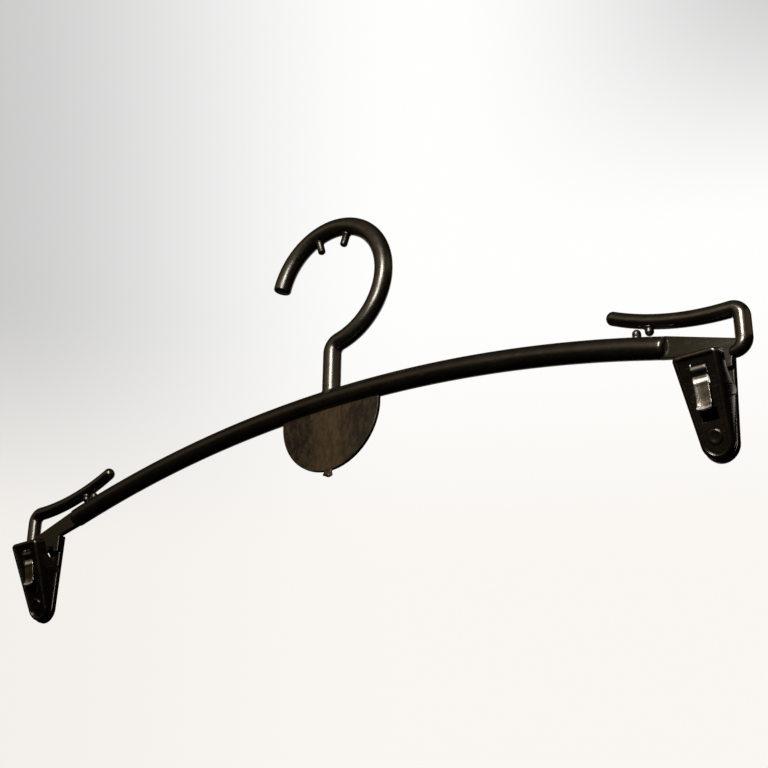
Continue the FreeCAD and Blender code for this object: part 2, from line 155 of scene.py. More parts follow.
class HangerSizes(bpy.types.PropertyGroup):
    """Sizes of the hanger's pieces."""
    bow_diameter: length("Bow thickness", 0.0069, "Diameter of the round bow")
    bow_half_span: length("Bow half span", 0.123, "From the stem's axis to the end of the bow")
    bow_rise: length("Bow rise", 0.0166, "How far the bow's ends lie below its middle")
    bow_end_fillet: length("Bow end fillet", 0.0016, "Rounding of the bow's ends")
    hook_rod_diameter: length("Hook thickness", 0.0063, "Diameter of the hook's rod")
    hook_radius: length("Hook radius", 0.023, "Radius of the hook's centreline")
    hook_offset: length("Hook offset", 0.0017, "How far the hook's centre lies beside the stem")
    hook_centre_height: length("Hook height", 0.0434, "From the bow's axis to the hook's centre")
    hook_tip_angle: angle("Hook tip", 168.0, "Where the hook's arc ends, from +X towards +Z")
    hook_tip_fillet: length("Hook tip fillet", 0.001, "Rounding of the hook's cut end")
    neck_radius: length("Neck radius", 0.004, "Bend between the stem and the hook")
    stem_flare: length("Stem flare", 0.0006, "Fillet where the stem stands on the bow")
    peg_diameter: length("Peg thickness", 0.0027, "Diameter of the pegs under the crown")
    peg_length: length("Peg length", 0.0045, "How far the pegs stand out")
    peg_spread: angle("Peg spread", 17.8, "Each peg's angle from the middle of the two")
    peg_turn: angle("Peg turn", 1.4, "How far the pair of pegs is turned to the right")
    peg_chamfer: length("Peg chamfer", 0.0006, "Bevel of the pegs' tips")
    tab_radius: length("Tab radius", 0.0204, "Radius of the label tab")
    tab_drop: length("Tab drop", 0.005, "From the bow's axis to the tab's centre")
    tab_thickness: length("Tab thickness", 0.0014, "Thickness of the label tab")
    tab_edge: length("Tab edge", 0.0003, "Rounding of the tab's rim")
    gate_width: length("Gate width", 0.0046, "Width of the gate stub under the tab")
    gate_length: length("Gate length", 0.0024, "How far the gate stub stands out")
    web_slope: angle("Web slope", 16.1, "How steeply the end web falls")
    web_inner_height: length("Web height inside", 0.0069, "Height of the web at the bow")
    web_outer_height: length("Web height outside", 0.0053, "Height of the web at the post")
    web_thickness: length("Web thickness", 0.002, "Thickness of the web and its tongue")
    web_corner_fillet: length("Web corner", 0.0004, "Fillet between the web and its tongue")
    web_edge: length("Web edge", 0.0003, "Rounding of the web's rim")
    clip_reach: length("Clip reach", 0.0132, "From the bow's end to the clip's middle")
    ledge_drop: length("Tongue length", 0.0076, "From the web's middle to the tongue's lower edge")
    post_diameter: length("Post thickness", 0.005, "Diameter of the post and of the arm's root")
    post_reach: length("Post reach", 0.02299, "From the bow's end to the post")
    post_height: length("Post height", 0.0124, "From the post's foot to the arm")
    post_set_in: length("Post set-in", 0.0026, "How far the web's round end stops short of the post")
    post_corner_radius: length("Post corner", 0.0032, "Bend between the post and the arm")
    foot_bend_radius: length("Foot bend", 0.003, "Bend of the post's foot, which turns in under the web")
    foot_tip_diameter: length("Foot tip", 0.0038, "Diameter of the foot's narrow end")
    foot_drop: length("Foot drop", 0.00038, "Depth of the foot under the web's middle line")
    arm_bend_radius: length("Arm bend", 0.085, "Radius of the arm's upward curve")
    arm_bend_angle: angle("Arm turn", 25.3, "Angle of the arm's upward curve")
    arm_tip_diameter: length("Arm tip", 0.0043, "Diameter of the arm's tip")
    bead_diameter: length("Bead thickness", 0.0027, "Diameter of the beads")
    bow_bead_set_in: length("Bow bead place", 0.0093, "From the bow's end to its bead")
    arm_bead_set_in: length("Arm bead place", 0.0052, "From the bow's end to the arm's bead")
    bead_gap: length("Bead gap", 0.0006, "Gap between a bead and the rod that it faces")
    jaw_top_width: length("Jaw width", 0.0123, "Width of the fixed jaw at the top")
    jaw_tip_width: length("Fixed jaw tip", 0.010, "Width of the fixed jaw's round tip")
    jaw_thickness: length("Jaw thickness", 0.002, "Thickness of the fixed jaw")
    jaw_drop: length("Jaw drop", 0.0337, "From the web's middle to the fixed jaw's tip")
    jaw_root_drop: length("Jaw root", 0.001, "From the web's middle to the fixed jaw's top")
    jaw_edge: length("Jaw edge", 0.00035, "Rounding of the fixed jaw's rim")
    grip_plane: length("Grip plane", 0.0003, "Depth of the plane where the jaws meet")
    lever_tilt: angle("Lever tilt", 23.3, "Tilt of the lever at rest")
    lever_length: length("Lever length", 0.0299, "Length of the lever")
    lever_top_width: length("Lever width", 0.0136, "Width of the lever at the top")
    lever_tip_width: length("Lever tip", 0.0095, "Width of the lever's round tip")
    lever_above_hinge: length("Lever thumb length", 0.01205, "Length of the lever above its hinge")
    lever_face_depth: length("Lever depth", 0.00785, "From the hinge to the lever's face")
    lever_rim_width: length("Lever rim width", 0.0015, "Width of the lever's raised rim")
    lever_rim_height: length("Lever rim height", 0.0007, "Height of the rim over the panel")
    lever_panel_thickness: length("Lever panel", 0.0011, "Thickness of the lever's panel")
    lever_corner_radius: length("Lever corner", 0.0016, "Rounding of the lever's top corners")
    lever_edge: length("Lever edge", 0.0010, "Rounding of the rim's outer edge")
    cheek_thickness: length("Cheek thickness", 0.0012, "Thickness of the lever's cheeks")
    cheek_depth: length("Cheek depth", 0.0052, "Depth of the cheeks at the top")
    cheek_slope_top: length("Cheek slope", 0.006, "Height over the hinge where the cheeks start to deepen")
    cheek_relief: length("Cheek relief", 0.0005, "Gap of the cheeks to the fixed jaw")
    cheek_relief_start: length("Relief start", 0.002, "How far below the hinge the relief starts")
    grip_land_length: length("Grip land", 0.006, "Height of the land that grips")
    grip_gap: length("Grip gap", 0.00005, "Gap of the closed jaws")
    hinge_drop: length("Hinge drop", 0.0141, "From the web's middle to the lever's hinge")
    nose_radius: length("Nose radius", 0.0016, "Radius of the lever's nose")
    nose_seat_depth: length("Nose seat", 0.0005, "Depth of the nose's groove")
    nose_clearance: length("Nose clearance", 0.00005, "Running clearance of the nose")
    window_width: length("Window width", 0.0048, "Width of the lever's window and slot")
    window_low: length("Window foot", 0.00035, "Height of the window's lower edge over the hinge")
    window_high: length("Window head", 0.0088, "Height of the window's upper edge over the hinge")
    lever_slot_low: length("Slot foot", 0.0072, "How far below the hinge the lower slot ends")
    lever_slot_high: length("Slot head", 0.0039, "How far below the hinge the lower slot starts")
    boss_diameter: length("Boss diameter", 0.0042, "Diameter of the round boss")
    boss_height: length("Boss height", 0.0005, "Height of the round boss")
    boss_drop: length("Boss place", 0.01155, "How far below the hinge the boss lies")
    spring_width: length("Spring width", 0.0044, "Width of the strip spring")
    spring_neck_width: length("Spring neck", 0.0039, "Width of the strip from its neck in the slot to its back leg")
    spring_thickness: length("Spring thickness", 0.0005, "Thickness of the strip spring")
    spring_play: length("Spring play", 0.00016, "How far the loose strip sits off the clip's middle, inwards")
    spring_dish: length("Spring dish", 0.00012, "How far the strip's front is hollowed across its width")
    spring_lip_dish: length("Lip dish", 0.00028, "How much further the strip's lip is hollowed")
    spring_reach: length("Spring reach", 0.0098, "How far the spring reaches to the front")
    spring_drop: length("Spring drop", 0.0145, "Height of the spring")
    spring_seat_gap: length("Spring seat", 0.0001, "Gap of the spring's back leg to the jaw")
    spring_slot_side_gap: length("Spring slot gap", 0.001, "Room beside the spring in the tongue's slot")
    spring_slot_drop: length("Spring slot place", 0.0051, "From the web's middle to the slot's upper edge")
    spring_slot_height: length("Spring slot height", 0.0047, "Height of the tongue's slot")
    spring_top_gap: length("Spring top gap", 0.00085, "From the slot's upper edge to the spring's middle")


class HangerFinish(bpy.types.PropertyGroup):
    """Colours and gloss of the hanger's finishes."""
    moulding: colour("Moulding", (0.0036, 0.0025, 0.0015), "Colour of the moulded hanger")
    moulding_gloss: share("Moulding roughness", 0.30, "Roughness of the moulded hanger")
    bow_gloss: share("Bow roughness", 0.30, "Roughness of the bow, which is duller than the rest")
    web_gloss: share("Web roughness", 0.22, "Roughness of the flat webs and jaws")
    arm_gloss: share("Arm roughness", 0.22, "Roughness of the strap arms, which are smoother than the rest")
    tab: colour("Tab", (0.017, 0.0105, 0.0050), "Colour of the label tab's satin faces")
    tab_gloss: share("Tab roughness", 0.46, "Roughness of the label tab")
    lever: colour("Lever", (0.0050, 0.0033, 0.0018), "Colour of the lever jaws")
    lever_gloss: share("Lever roughness", 0.23, "Roughness of the lever jaws")
    spring: colour("Spring", (0.30, 0.275, 0.24), "Colour of the spring strip")
    spring_gloss: share("Spring roughness", 0.22, "Roughness of the spring strip")
    floor: colour("Floor", (0.80, 0.79, 0.77), "Colour of the floor")


def places(s):
    """Places that follow from the sizes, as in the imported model."""
    p = SimpleNamespace()
    p.bow_r, p.rod_r, p.post_r = s.bow_diameter / 2, s.hook_rod_diameter / 2, s.post_diameter / 2
    p.bow_z = p.rod_r - s.hook_radius - s.hook_centre_height
    p.arc_r = (s.bow_half_span ** 2 + s.bow_rise ** 2) / (2 * s.bow_rise)
    p.end_angle = math.asin(s.bow_half_span / p.arc_r)
    p.end_z = p.bow_z - s.bow_rise
    p.clip_x = s.bow_half_span + s.clip_reach
    p.clip_z = p.end_z - s.clip_reach * math.tan(s.web_slope)
    p.post_x = s.bow_half_span + s.post_reach
    p.foot_x = p.post_x - s.foot_bend_radius
    p.foot_z = p.end_z - (s.post_reach - s.foot_bend_radius) * math.tan(s.web_slope) - s.foot_drop
    p.arm_z = p.foot_z + s.post_height
    p.arm_root_x = p.post_x - s.post_corner_radius
    p.hinge_y = s.grip_plane + s.nose_seat_depth - s.nose_radius - s.nose_clearance
    p.hinge_z = p.clip_z - s.hinge_drop
    p.jaw_low = p.clip_z - s.jaw_drop + s.jaw_tip_width / 2
    p.lever_tip = s.lever_above_hinge - s.lever_length
    p.slot_half = s.spring_width / 2 + s.spring_slot_side_gap
    p.slot_top = p.clip_z - s.spring_slot_drop
    return p


def known(context):
    """The sizes and the places that follow from them."""
    s = context.scene.hanger_sizes
    return s, places(s)


class Skin:
    """Collects patches of points for one piece and makes them one mesh with its faces outwards."""

    def __init__(self):
        self.points, self.faces, self.flat, self.count = [], [], [], 0

    def add(self, points):
        """Keeps points and gives the number of the first."""
        points = np.asarray(points, float).reshape(-1, 3)
        self.points.append(points)
        self.count += len(points)
        return self.count - len(points)

    def grid(self, points, around=False, keep=None):
        """Quads between neighbours of a rows by columns grid, closed around its columns if asked."""
        rows, columns = points.shape[:2]
        index = self.add(points) + np.arange(rows * columns).reshape(rows, columns)
        if around:
            index = np.concatenate([index, index[:, :1]], axis=1)
        quads = stacked(index[:-1, :-1], index[:-1, 1:], index[1:, 1:], index[1:, :-1])
        quads = quads[keep] if keep is not None else quads.reshape(-1, 4)
        self.faces += quads.tolist()
        self.flat += [False] * len(quads)

    def tube(self, rings, *caps):
        """Quads around a stack of rings, and flat faces over the rings that are named as caps."""
        self.grid(rings, around=True)
        for cap in caps:
            self.polygon(rings[cap])

    def polygon(self, loop):
        """One flat face through a closed loop of points."""
        first = self.add(loop)
        self.faces.append(list(range(first, first + len(loop))))
        self.flat.append(True)

    def build(self, name, mirrored=False):
        """The finished object: doubles merged, empty faces removed, normals turned outwards."""
        points = np.concatenate(self.points)
        if mirrored:
            points = points * np.array([-1.0, 1.0, 1.0])
        mesh = bpy.data.meshes.new(name)
        mesh.from_pydata(points.tolist(), [], self.faces)
        mesh.polygons.foreach_set("use_smooth", np.logical_not(self.flat))
        work = bmesh.new()
        work.from_mesh(mesh)
        bmesh.ops.remove_doubles(work, verts=work.verts, dist=MERGE_DISTANCE)
        bmesh.ops.dissolve_degenerate(work, edges=work.edges, dist=EMPTY_EDGE)
        bmesh.ops.recalc_face_normals(work, faces=work.faces)
        work.to_mesh(mesh)
        work.free()
        mesh.set_sharp_from_angle(angle=SHARP_FOLD)
        piece = bpy.data.objects.new(name, mesh)
        bpy.context.scene.collection.objects.link(piece)
        return piece


def unit(v):
    """Vectors divided by their lengths."""
    return v / np.linalg.norm(v, axis=-1, keepdims=True)


def stacked(*parts):
    """Coordinates side by side along a new last axis, each spread to the shape of all."""
    return np.stack(np.broadcast_arrays(*parts), axis=-1)


def at_depth(flat, depth):
    """Points of the XZ plane set at depths along Y."""
    return stacked(flat[..., 0], depth, flat[..., 1])


def smooth(t):
    """Smooth step 3 t^2 - 2 t^3 of a share, held to 0 and 1 outside."""
    t = np.clip(t, 0, 1)
    return t * t * (3 - 2 * t)


def spin_points(count):
    """Angles of a full turn, without its end."""
    return np.linspace(0, 2 * np.pi, count, endpoint=False)


def quarter(count=QUARTER):
    """Angles of a quarter turn, with both ends."""
    return np.linspace(0, np.pi / 2, count)


def rod_rings(path, along, radius, count=ROUND):
    """Rings of a round rod in the XZ plane: path + radius (cos a across + sin a Y), across being along turned right."""
    path, along, radius = np.asarray(path), np.asarray(along), np.asarray(radius)[:, None]
    turn = spin_points(count)
    across = stacked(along[:, 1], -along[:, 0])
    x = path[:, :1] + radius * np.cos(turn) * across[:, :1]
    z = path[:, 1:] + radius * np.cos(turn) * across[:, 1:]
    return stacked(x, radius * np.sin(turn), z)


def rod_end(point, along, radius, fillet):
    """Stations that close a rod: a quarter circle of the fillet's radius, then a disc."""
    t = quarter(QUARTER + 2)[1:]
    reach = np.append(fillet * np.sin(t), fillet)
    ring = np.append(radius - fillet + fillet * np.cos(t), 0.0)
    return point + reach[:, None] * along, np.repeat(along[None], len(ring), 0), ring


def capped(path, along, radius, start, end):
    """Stations of a rod with its ends closed by fillets; without a fillet at its start it stays open there."""
    runs = [(path, along, radius), rod_end(path[-1], along[-1], radius[-1], end)]
    if start:
        head, way, ring = rod_end(path[0], -along[0], radius[0], start)
        runs.insert(0, (head[::-1], -way[::-1], ring[::-1]))
    return chained(0, *runs)


def chained(shared, *runs):
    """Stations of runs joined end to end, less the points that each run shares with the one before."""
    return [np.concatenate([part[shared if i else 0:] for i, part in enumerate(parts)]) for parts in zip(*runs)]


def arc_path(centre, radius, start, end, count):
    """Points centre + radius (cos a, sin a) in the XZ plane, and the way that they run."""
    a = np.linspace(start, end, count)
    way = math.copysign(1.0, end - start)
    points = stacked(centre[0] + radius * np.cos(a), centre[1] + radius * np.sin(a))
    return points, stacked(-way * np.sin(a), way * np.cos(a))


def line_path(start, end, count):
    """Points on a straight run and the way that they run."""
    start, end = np.asarray(start, float), np.asarray(end, float)
    points = start + np.linspace(0, 1, count)[:, None] * (end - start)
    return points, np.repeat(unit(end - start)[None], count, 0)


def rounded_outline(corners, radii, steps=8):
    """Closed outline, counter-clockwise, with an arc of its own radius at each corner, and its outward normals.

    With unit directions a and b to a corner's neighbours and half their angle h, the arc's centre lies r / sin h
    along the bisector, and the arc runs between the points r / tan h along a and b.
    """
    corners, radii = np.asarray(corners, float), np.asarray(radii, float)[:, None]
    a = unit(np.roll(corners, 1, axis=0) - corners)
    b = unit(np.roll(corners, -1, axis=0) - corners)
    half = np.arccos(np.clip(np.sum(a * b, axis=-1, keepdims=True), -1, 1)) / 2
    centre = corners + unit(a + b) * radii / np.sin(half)
    start, end = corners + a * radii / np.tan(half) - centre, corners + b * radii / np.tan(half) - centre
    turn = (np.pi - 2 * half)[:, :, None]
    t = np.linspace(0, 1, steps)[None, :, None]
    spoke = (np.sin((1 - t) * turn) * start[:, None] + np.sin(t * turn) * end[:, None]) / np.sin(turn)
    bulge = np.sign(b[:, 0] * a[:, 1] - b[:, 1] * a[:, 0])[:, None, None]
    return (centre[:, None] + spoke).reshape(-1, 2), (bulge * unit(spoke)).reshape(-1, 2)


def edge_rows(edge):
    """Insets and depths of a quarter-round edge, from the flat face to the side wall."""
    t = quarter()
    return edge * (1 - np.sin(t)), edge * (1 - np.cos(t))


def plate(skin, outline, normals, front, back, edge):
    """Flat plate between two depths: its rim is a quarter-round profile carried along the outline."""
    inset, depth = edge_rows(edge)
    inset = np.concatenate([inset, inset[::-1]])[:, None, None]
    depth = np.concatenate([front + depth, back - depth[::-1]])[:, None]
    flat = outline[None] - normals[None] * inset
    skin.tube(at_depth(flat, depth), 0, -1)


def add_piece(context, skin, name, body, surface, nodes, mirrored=False):
    """Builds a piece with its material and slot, sets it on its body if it has one, and lets it stand for its nodes."""
    piece = skin.build(name, mirrored)
    piece.data.materials.append(finish(context, surface))
    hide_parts(*nodes)
    if body:
        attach(piece, body)
    return piece


class Field:
    """A shader socket that takes part in Python sums."""

    def __init__(self, graph, socket):
        self.graph, self.socket = graph, socket

    def math(self, operation, a, b):
        """A math node on two fields or numbers."""
        return self.graph.node("ShaderNodeMath", {"operation": operation}, {0: a, 1: b})

    def __add__(self, other):
        return self.math("ADD", self, other)

    def __radd__(self, other):
        return self.math("ADD", other, self)

    def __sub__(self, other):
        return self.math("SUBTRACT", self, other)

    def __rsub__(self, other):
        return self.math("SUBTRACT", other, self)

    def __mul__(self, other):
        return self.math("MULTIPLY", self, other)

    def __rmul__(self, other):
        return self.math("MULTIPLY", other, self)

    def __truediv__(self, other):
        return self.math("DIVIDE", self, other)

    def __pow__(self, other):
        return self.math("POWER", self, other)

    def __abs__(self):
        return self.math("ABSOLUTE", self, 0.0)

    def at_least(self, low):
        """The larger of the field and a number."""
        return self.math("MAXIMUM", self, low)

    def step(self, low, high):
        """0 below low, 1 above high and smooth between."""
        return self.graph.node("ShaderNodeMapRange", {"interpolation_type": "SMOOTHSTEP"},
                               {"Value": self, "From Min": low, "From Max": high})


class Graph:
    """A node tree that is written as expressions."""

    def __init__(self, tree):
        self.tree = tree
        tree.nodes.clear()

    def node(self, kind, settings=None, inputs=None, output=0):
        """Adds a node, sets it up, fills its sockets with values or links, and gives one of its outputs."""
        node = self.tree.nodes.new(kind)
        for name, value in (settings or {}).items():
            setattr(node, name, value)
        for name, value in (inputs or {}).items():
            if isinstance(value, Field):
                self.tree.links.new(value.socket, node.inputs[name])
            else:
                node.inputs[name].default_value = value
        return Field(self, node.outputs[output]) if len(node.outputs) else None

    def along(self, axis, where="Object"):
        """How far a place, in object coordinates unless others are named, lies along an axis."""
        place = self.node("ShaderNodeTexCoord", output=where)
        return self.node("ShaderNodeVectorMath", {"operation": "DOT_PRODUCT"}, {0: place, 1: axis}, "Value")

    def noise(self, scale, detail=3.0, roughness=0.55):
        """Noise from 0 to 1 with features of 1 / scale metres along each axis of the object."""
        where = self.node("ShaderNodeTexCoord", output="Object")
        place = self.node("ShaderNodeVectorMath", {"operation": "MULTIPLY"}, {0: where, 1: scale})
        return self.node("ShaderNodeTexNoise", None,
                         {"Vector": place, "Scale": 1.0, "Detail": detail, "Roughness": roughness})

    def blend(self, amount, a, b):
        """Mix of two colours."""
        return self.node("ShaderNodeMix", {"data_type": "RGBA"}, {0: amount, 6: a, 7: b}, output=2)

    def bump(self, height, distance, strength=1.0):
        """Normal of a height in shares of a distance in metres."""
        return self.node("ShaderNodeBump", None, {"Height": height, "Distance": distance, "Strength": strength})


def rgba(value, times=1.0):
    """A linear colour with full alpha."""
    return tuple(min(1.0, c * times) for c in value) + (1.0,)


def new_material(name):
    """An empty material and its graph."""
    material = bpy.data.materials.new(name)
    material.use_nodes = True
    return material, Graph(material.node_tree)


def close_material(graph, inputs):
    """Principled shader with its sockets filled, as the surface."""
    surface = graph.node("ShaderNodeBsdfPrincipled", None, inputs)
    graph.node("ShaderNodeOutputMaterial", None, {"Surface": surface})


def moulded_plastic(name, tint, roughness, coat, shine=1.0, polish=0.2):
    """Warm near-black moulded plastic: cloudy colour, flow marks, a mottled gloss, fine grain and faint scuffs.

    Towards the left end the gloss falls off and painted shade darkens the colour; beyond polish along X both ends are
    rubbed bright.
    """
    material, g = new_material(name)
    x = g.along((1.0, 0.0, 0.0))
    # Less gloss towards the left end, and painted shade that darkens the colour there
    dull_and_painted_shade = 1.0 - x.step(LEFT_DULL_AND_SHADED, LEFT_GLOSSY_AND_UNSHADED)
    rubbed = abs(x).step(polish, polish + 0.003)
    cloud = g.noise((60.0, 60.0, 60.0), 4.0)
    flow = g.noise((90.0, 420.0, 420.0), 3.0)
    mottle = g.noise((300.0, 480.0, 480.0), 4.0, 0.62).step(0.36, 0.64)
    peel = g.noise((900.0, 900.0, 900.0), 2.0)
    grain = g.noise((2600.0, 2600.0, 2600.0), 2.0)
    scuff = g.noise((340.0, 1500.0, 1500.0), 2.0).step(0.60, 0.72)
    colour_mix = g.blend(cloud.step(0.30, 0.72), rgba(tint, 0.72), rgba(tint, 1.35))
    colour_mix = g.blend(scuff * 0.25, colour_mix, rgba(tint, 2.4))
    # painted shade: the colour is darkened towards the left end
    colour_mix = g.blend(dull_and_painted_shade * 0.7, colour_mix, rgba(tint, 0.25))
    close_material(g, {
        "Base Color": colour_mix,
        "Roughness": roughness - 0.08 + flow * 0.10 + scuff * 0.10 + mottle * 0.05 + dull_and_painted_shade * 0.04,
        "Normal": g.bump(peel * 0.45 + flow * 0.2 + grain * 0.35, 0.00005, 0.55),
        "IOR": 1.5, "Specular IOR Level": shine, "Specular Tint": (1.0, 0.95, 0.86, 1.0),
        "Coat Weight": ((mottle * 0.6 + 0.4) * coat + rubbed * 0.8) * (1.0 - dull_and_painted_shade * 0.9),
        "Coat Roughness": 0.16, "Coat IOR": 1.5})
    return material


def satin_tab(name, tint, roughness, gate):
    """Satin plastic whose flow marks fan out from the gate, with a painted sheen down its middle and a pebbled grain.

    A place is taken as its angle about the gate and its distance from it, and noise is drawn out along the distance.
    """
    material, g = new_material(name)
    x, over = g.along((1.0, 0.0, 0.0)), g.along((0.0, 0.0, 1.0)) - gate
    reach = (x * x + over * over) ** 0.5
    fan = g.node("ShaderNodeCombineXYZ", None, {0: x.math("ARCTAN2", x, over) * 30.0, 1: reach * 160.0})
    streak = g.node("ShaderNodeTexNoise", None, {"Vector": fan, "Scale": 1.0, "Detail": 4.0, "Roughness": 0.62})
    cloud = g.noise((520.0, 520.0, 300.0), 4.0, 0.7)
    grain = g.noise((2200.0, 2200.0, 2200.0), 2.0)
    # painted sheen: the colour is made paler down the tab's middle
    middle = 1.0 - abs(x).step(0.001, 0.013)
    pale_tone_and_sheen = middle * 0.55 + streak.step(0.32, 0.70) * 0.24 + cloud.step(0.35, 0.66) * 0.42 - 0.22
    colour_mix = g.blend(pale_tone_and_sheen.at_least(0.0), rgba(tint, 0.30), rgba(tint, 3.0))
    close_material(g, {
        "Base Color": colour_mix,
        "Roughness": roughness - 0.08 + streak * 0.16,
        "Normal": g.bump(streak * 0.55 + grain * 0.45, 0.00008, 0.55),
        "IOR": 1.5, "Specular IOR Level": 0.32, "Specular Tint": (1.0, 0.92, 0.80, 1.0),
        "Coat Weight": cloud.step(0.40, 0.66) * 0.35, "Coat Roughness": 0.30, "Coat IOR": 1.5})
    return material


def spring_steel(name, tint, roughness, bends, neck):
    """Dark rolled strip steel: draw lines along the strip, heat tint, small dark specks and painted highlights on its
    bends.

    A bend is a height, a reach and an amount; the painted highlight falls off smoothly over the reach. Above the neck's
    height the strip is duller, and its colour is darkened by painted shade.
    """
    material, g = new_material(name)
    draw = g.noise((5200.0, 160.0, 160.0), 3.0, 0.6)
    heat = g.noise((260.0, 260.0, 260.0), 3.0)
    speck = g.noise((1700.0, 1700.0, 1700.0), 2.0).step(0.64, 0.74)
    z = g.along((0.0, 0.0, 1.0))
    dull_and_painted_shade = z.step(neck, neck + 0.0006)
    painted_highlight = sum((1.0 - abs(z - height).step(0.3 * reach, reach)) * amount for height, reach, amount in bends)
    colour_mix = g.blend(heat.step(0.32, 0.70), rgba(tint, 0.72), rgba(tint, 1.20))
    colour_mix = g.blend(speck * 0.6, colour_mix, rgba(tint, 0.30))
    # painted shade: above the neck's height the strip's colour is darkened
    colour_mix = g.blend(dull_and_painted_shade * 0.7, colour_mix, rgba(tint, 0.25))
    # painted highlight: the steel is painted near white at its bends
    colour_mix = g.blend(painted_highlight * (draw * 0.5 + 0.6), colour_mix, PAINTED_HIGHLIGHT_STEEL)
    close_material(g, {
        "Base Color": colour_mix,
        "Metallic": 1.0,
        "Roughness": roughness - 0.07 + draw * 0.14 + speck * 0.15 + painted_highlight * 0.28 + dull_and_painted_shade * 0.10,
        "Normal": g.bump(draw, 0.00003, 0.5)})
    return material


def finish(context, name):
    """The material of that name, made once."""
    if name in bpy.data.materials:
        return bpy.data.materials[name]
    f = context.scene.hanger_finish
    s, p = known(context)
    if name == "satin_tab":
        return satin_tab(name, f.tab, f.tab_gloss, p.bow_z - s.tab_drop - s.tab_radius)
    if name == "spring_steel":
        top = p.slot_top - s.spring_top_gap
        bends = [(top - at * s.spring_drop, reach, amount) for at, reach, amount in SPRING_PAINTED_HIGHLIGHTS]
        return spring_steel(name, f.spring, f.spring_gloss, bends, top - SPRING_DULL_SHADED_SHARE * s.spring_drop)
    plastics = {
        "moulded_plastic": dict(tint=f.moulding, roughness=f.moulding_gloss, coat=0.7),
        "bow_plastic": dict(tint=f.moulding, roughness=f.bow_gloss, coat=0.20, shine=0.70, polish=0.117),
        "web_plastic": dict(tint=f.moulding, roughness=f.web_gloss, coat=0.10, shine=0.55),
        "arm_plastic": dict(tint=f.moulding, roughness=f.arm_gloss, coat=1.0),
        "lever_plastic": dict(tint=f.lever, roughness=f.lever_gloss, coat=1.0)}
    return moulded_plastic(name, **plastics[name])


def bow_height(p, x):
    """Height of the bow's centreline at a place along X."""
    return p.bow_z - p.arc_r + np.sqrt(p.arc_r ** 2 - np.square(x))


class HANGER_OT_bow(bpy.types.Operator):
    """Round bow on a flat arc, with filleted ends"""
    bl_idname = "hanger.bow"
    bl_label = "Bow"

    def execute(self, context):
        s, p = known(context)
        short = s.bow_end_fillet / p.arc_r
        path, along = arc_path((0, p.bow_z - p.arc_r), p.arc_r, np.pi / 2 + p.end_angle - short,
                               np.pi / 2 - p.end_angle + short, BOW_STATIONS)
        radius = np.full(len(path), p.bow_r)
        skin = Skin()
        skin.tube(rod_rings(*capped(path, along, radius, s.bow_end_fillet, s.bow_end_fillet)))
        add_piece(context, skin, "bow_bar", "hanger", "bow_plastic", ["bow"])
        return {"FINISHED"}


class HANGER_OT_hook(bpy.types.Operator):
    """Hook with its stem and neck bend, flared onto the bow, and its cut tip"""
    bl_idname = "hanger.hook"
    bl_label = "Hook"

    def execute(self, context):
        s, p = known(context)
        centre = (-s.hook_offset, p.bow_z + s.hook_centre_height)
        drop = math.sqrt((s.hook_radius + s.neck_radius) ** 2 - (s.neck_radius + s.hook_offset) ** 2)
        neck = (s.neck_radius, centre[1] - drop)
        meet = math.atan2(-drop, s.neck_radius + s.hook_offset)
        stem_foot = p.bow_z + p.bow_r + 2 * s.stem_flare
        last = s.hook_tip_angle - s.hook_tip_fillet / s.hook_radius
        path, along = chained(1, line_path((0, stem_foot), (0, neck[1]), STEM_STATIONS),
                              arc_path(neck, s.neck_radius, np.pi, np.pi + meet, NECK_STATIONS),
                              arc_path(centre, s.hook_radius, meet, last, CROWN_STATIONS))
        rod = capped(path, along, np.full(len(path), p.rod_r), None, s.hook_tip_fillet)
        skin = Skin()
        skin.tube(np.concatenate([self.flare(s, p), rod_rings(*rod)]))
        add_piece(context, skin, "hook_rod", "hanger", "moulded_plastic", ["hook"])
        return {"FINISHED"}

    def flare(self, s, p):
        """Foot of the stem: a fillet whose lower edge follows the bow, height sqrt(R^2 - y^2), and sinks into it."""
        turn, t = spin_points(ROUND), quarter()[:, None]
        narrow = np.minimum(s.stem_flare, 0.9 * (p.bow_r - p.rod_r))
        grow = s.stem_flare * np.cos(turn) ** 2 + narrow * np.sin(turn) ** 2
        radius = p.rod_r + grow * (1 - np.sin(t))
        seat = np.sqrt(np.maximum(p.bow_r ** 2 - (radius * np.sin(turn)) ** 2, 0))
        height = p.bow_z + seat + s.stem_flare * (1 - np.cos(t))
        radius = np.concatenate([np.zeros((1, ROUND)), np.full((1, ROUND), p.rod_r), radius])
        height = np.concatenate([np.full((2, ROUND), p.bow_z), height])
        return stacked(radius * np.cos(turn), radius * np.sin(turn), height)


class HANGER_OT_pegs(bpy.types.Operator):
    """Pegs under the hook's crown, with bevelled tips"""
    bl_idname = "hanger.pegs"
    bl_label = "Pegs"

    def execute(self, context):
        s, p = known(context)
        centre = np.array([-s.hook_offset, p.bow_z + s.hook_centre_height])
        seat = s.hook_radius - p.rod_r
        r, c = s.peg_diameter / 2, s.peg_chamfer
        flare = s.stem_flare / 2
        out = np.array([s.hook_radius, seat - 0.1 * flare, seat - 0.35 * flare, seat - flare])
        wide = np.array([r + flare, r + flare, r + 0.35 * flare, r])
        tip = seat - s.peg_length
        out = np.concatenate([out, [tip + 1.25 * c, tip + c, tip + 0.6 * c, tip + 0.12 * c, tip, tip]])
        wide = np.concatenate([wide, [r, r - 0.06 * c, r - 0.35 * c, r - 0.85 * c, r - c, 0.0]])
        for end, side in ENDS.items():
            turn = side * s.peg_spread + s.peg_turn
            way = np.array([math.sin(turn), math.cos(turn)])
            path = centre + out[:, None] * way
            skin = Skin()
            skin.tube(rod_rings(path, np.repeat(way[None], len(path), 0), wide, THIN_ROUND), 0)
            add_piece(context, skin, end + "_crown_peg", "hanger", "bow_plastic", [end + "_tag_peg"])
        return {"FINISHED"}


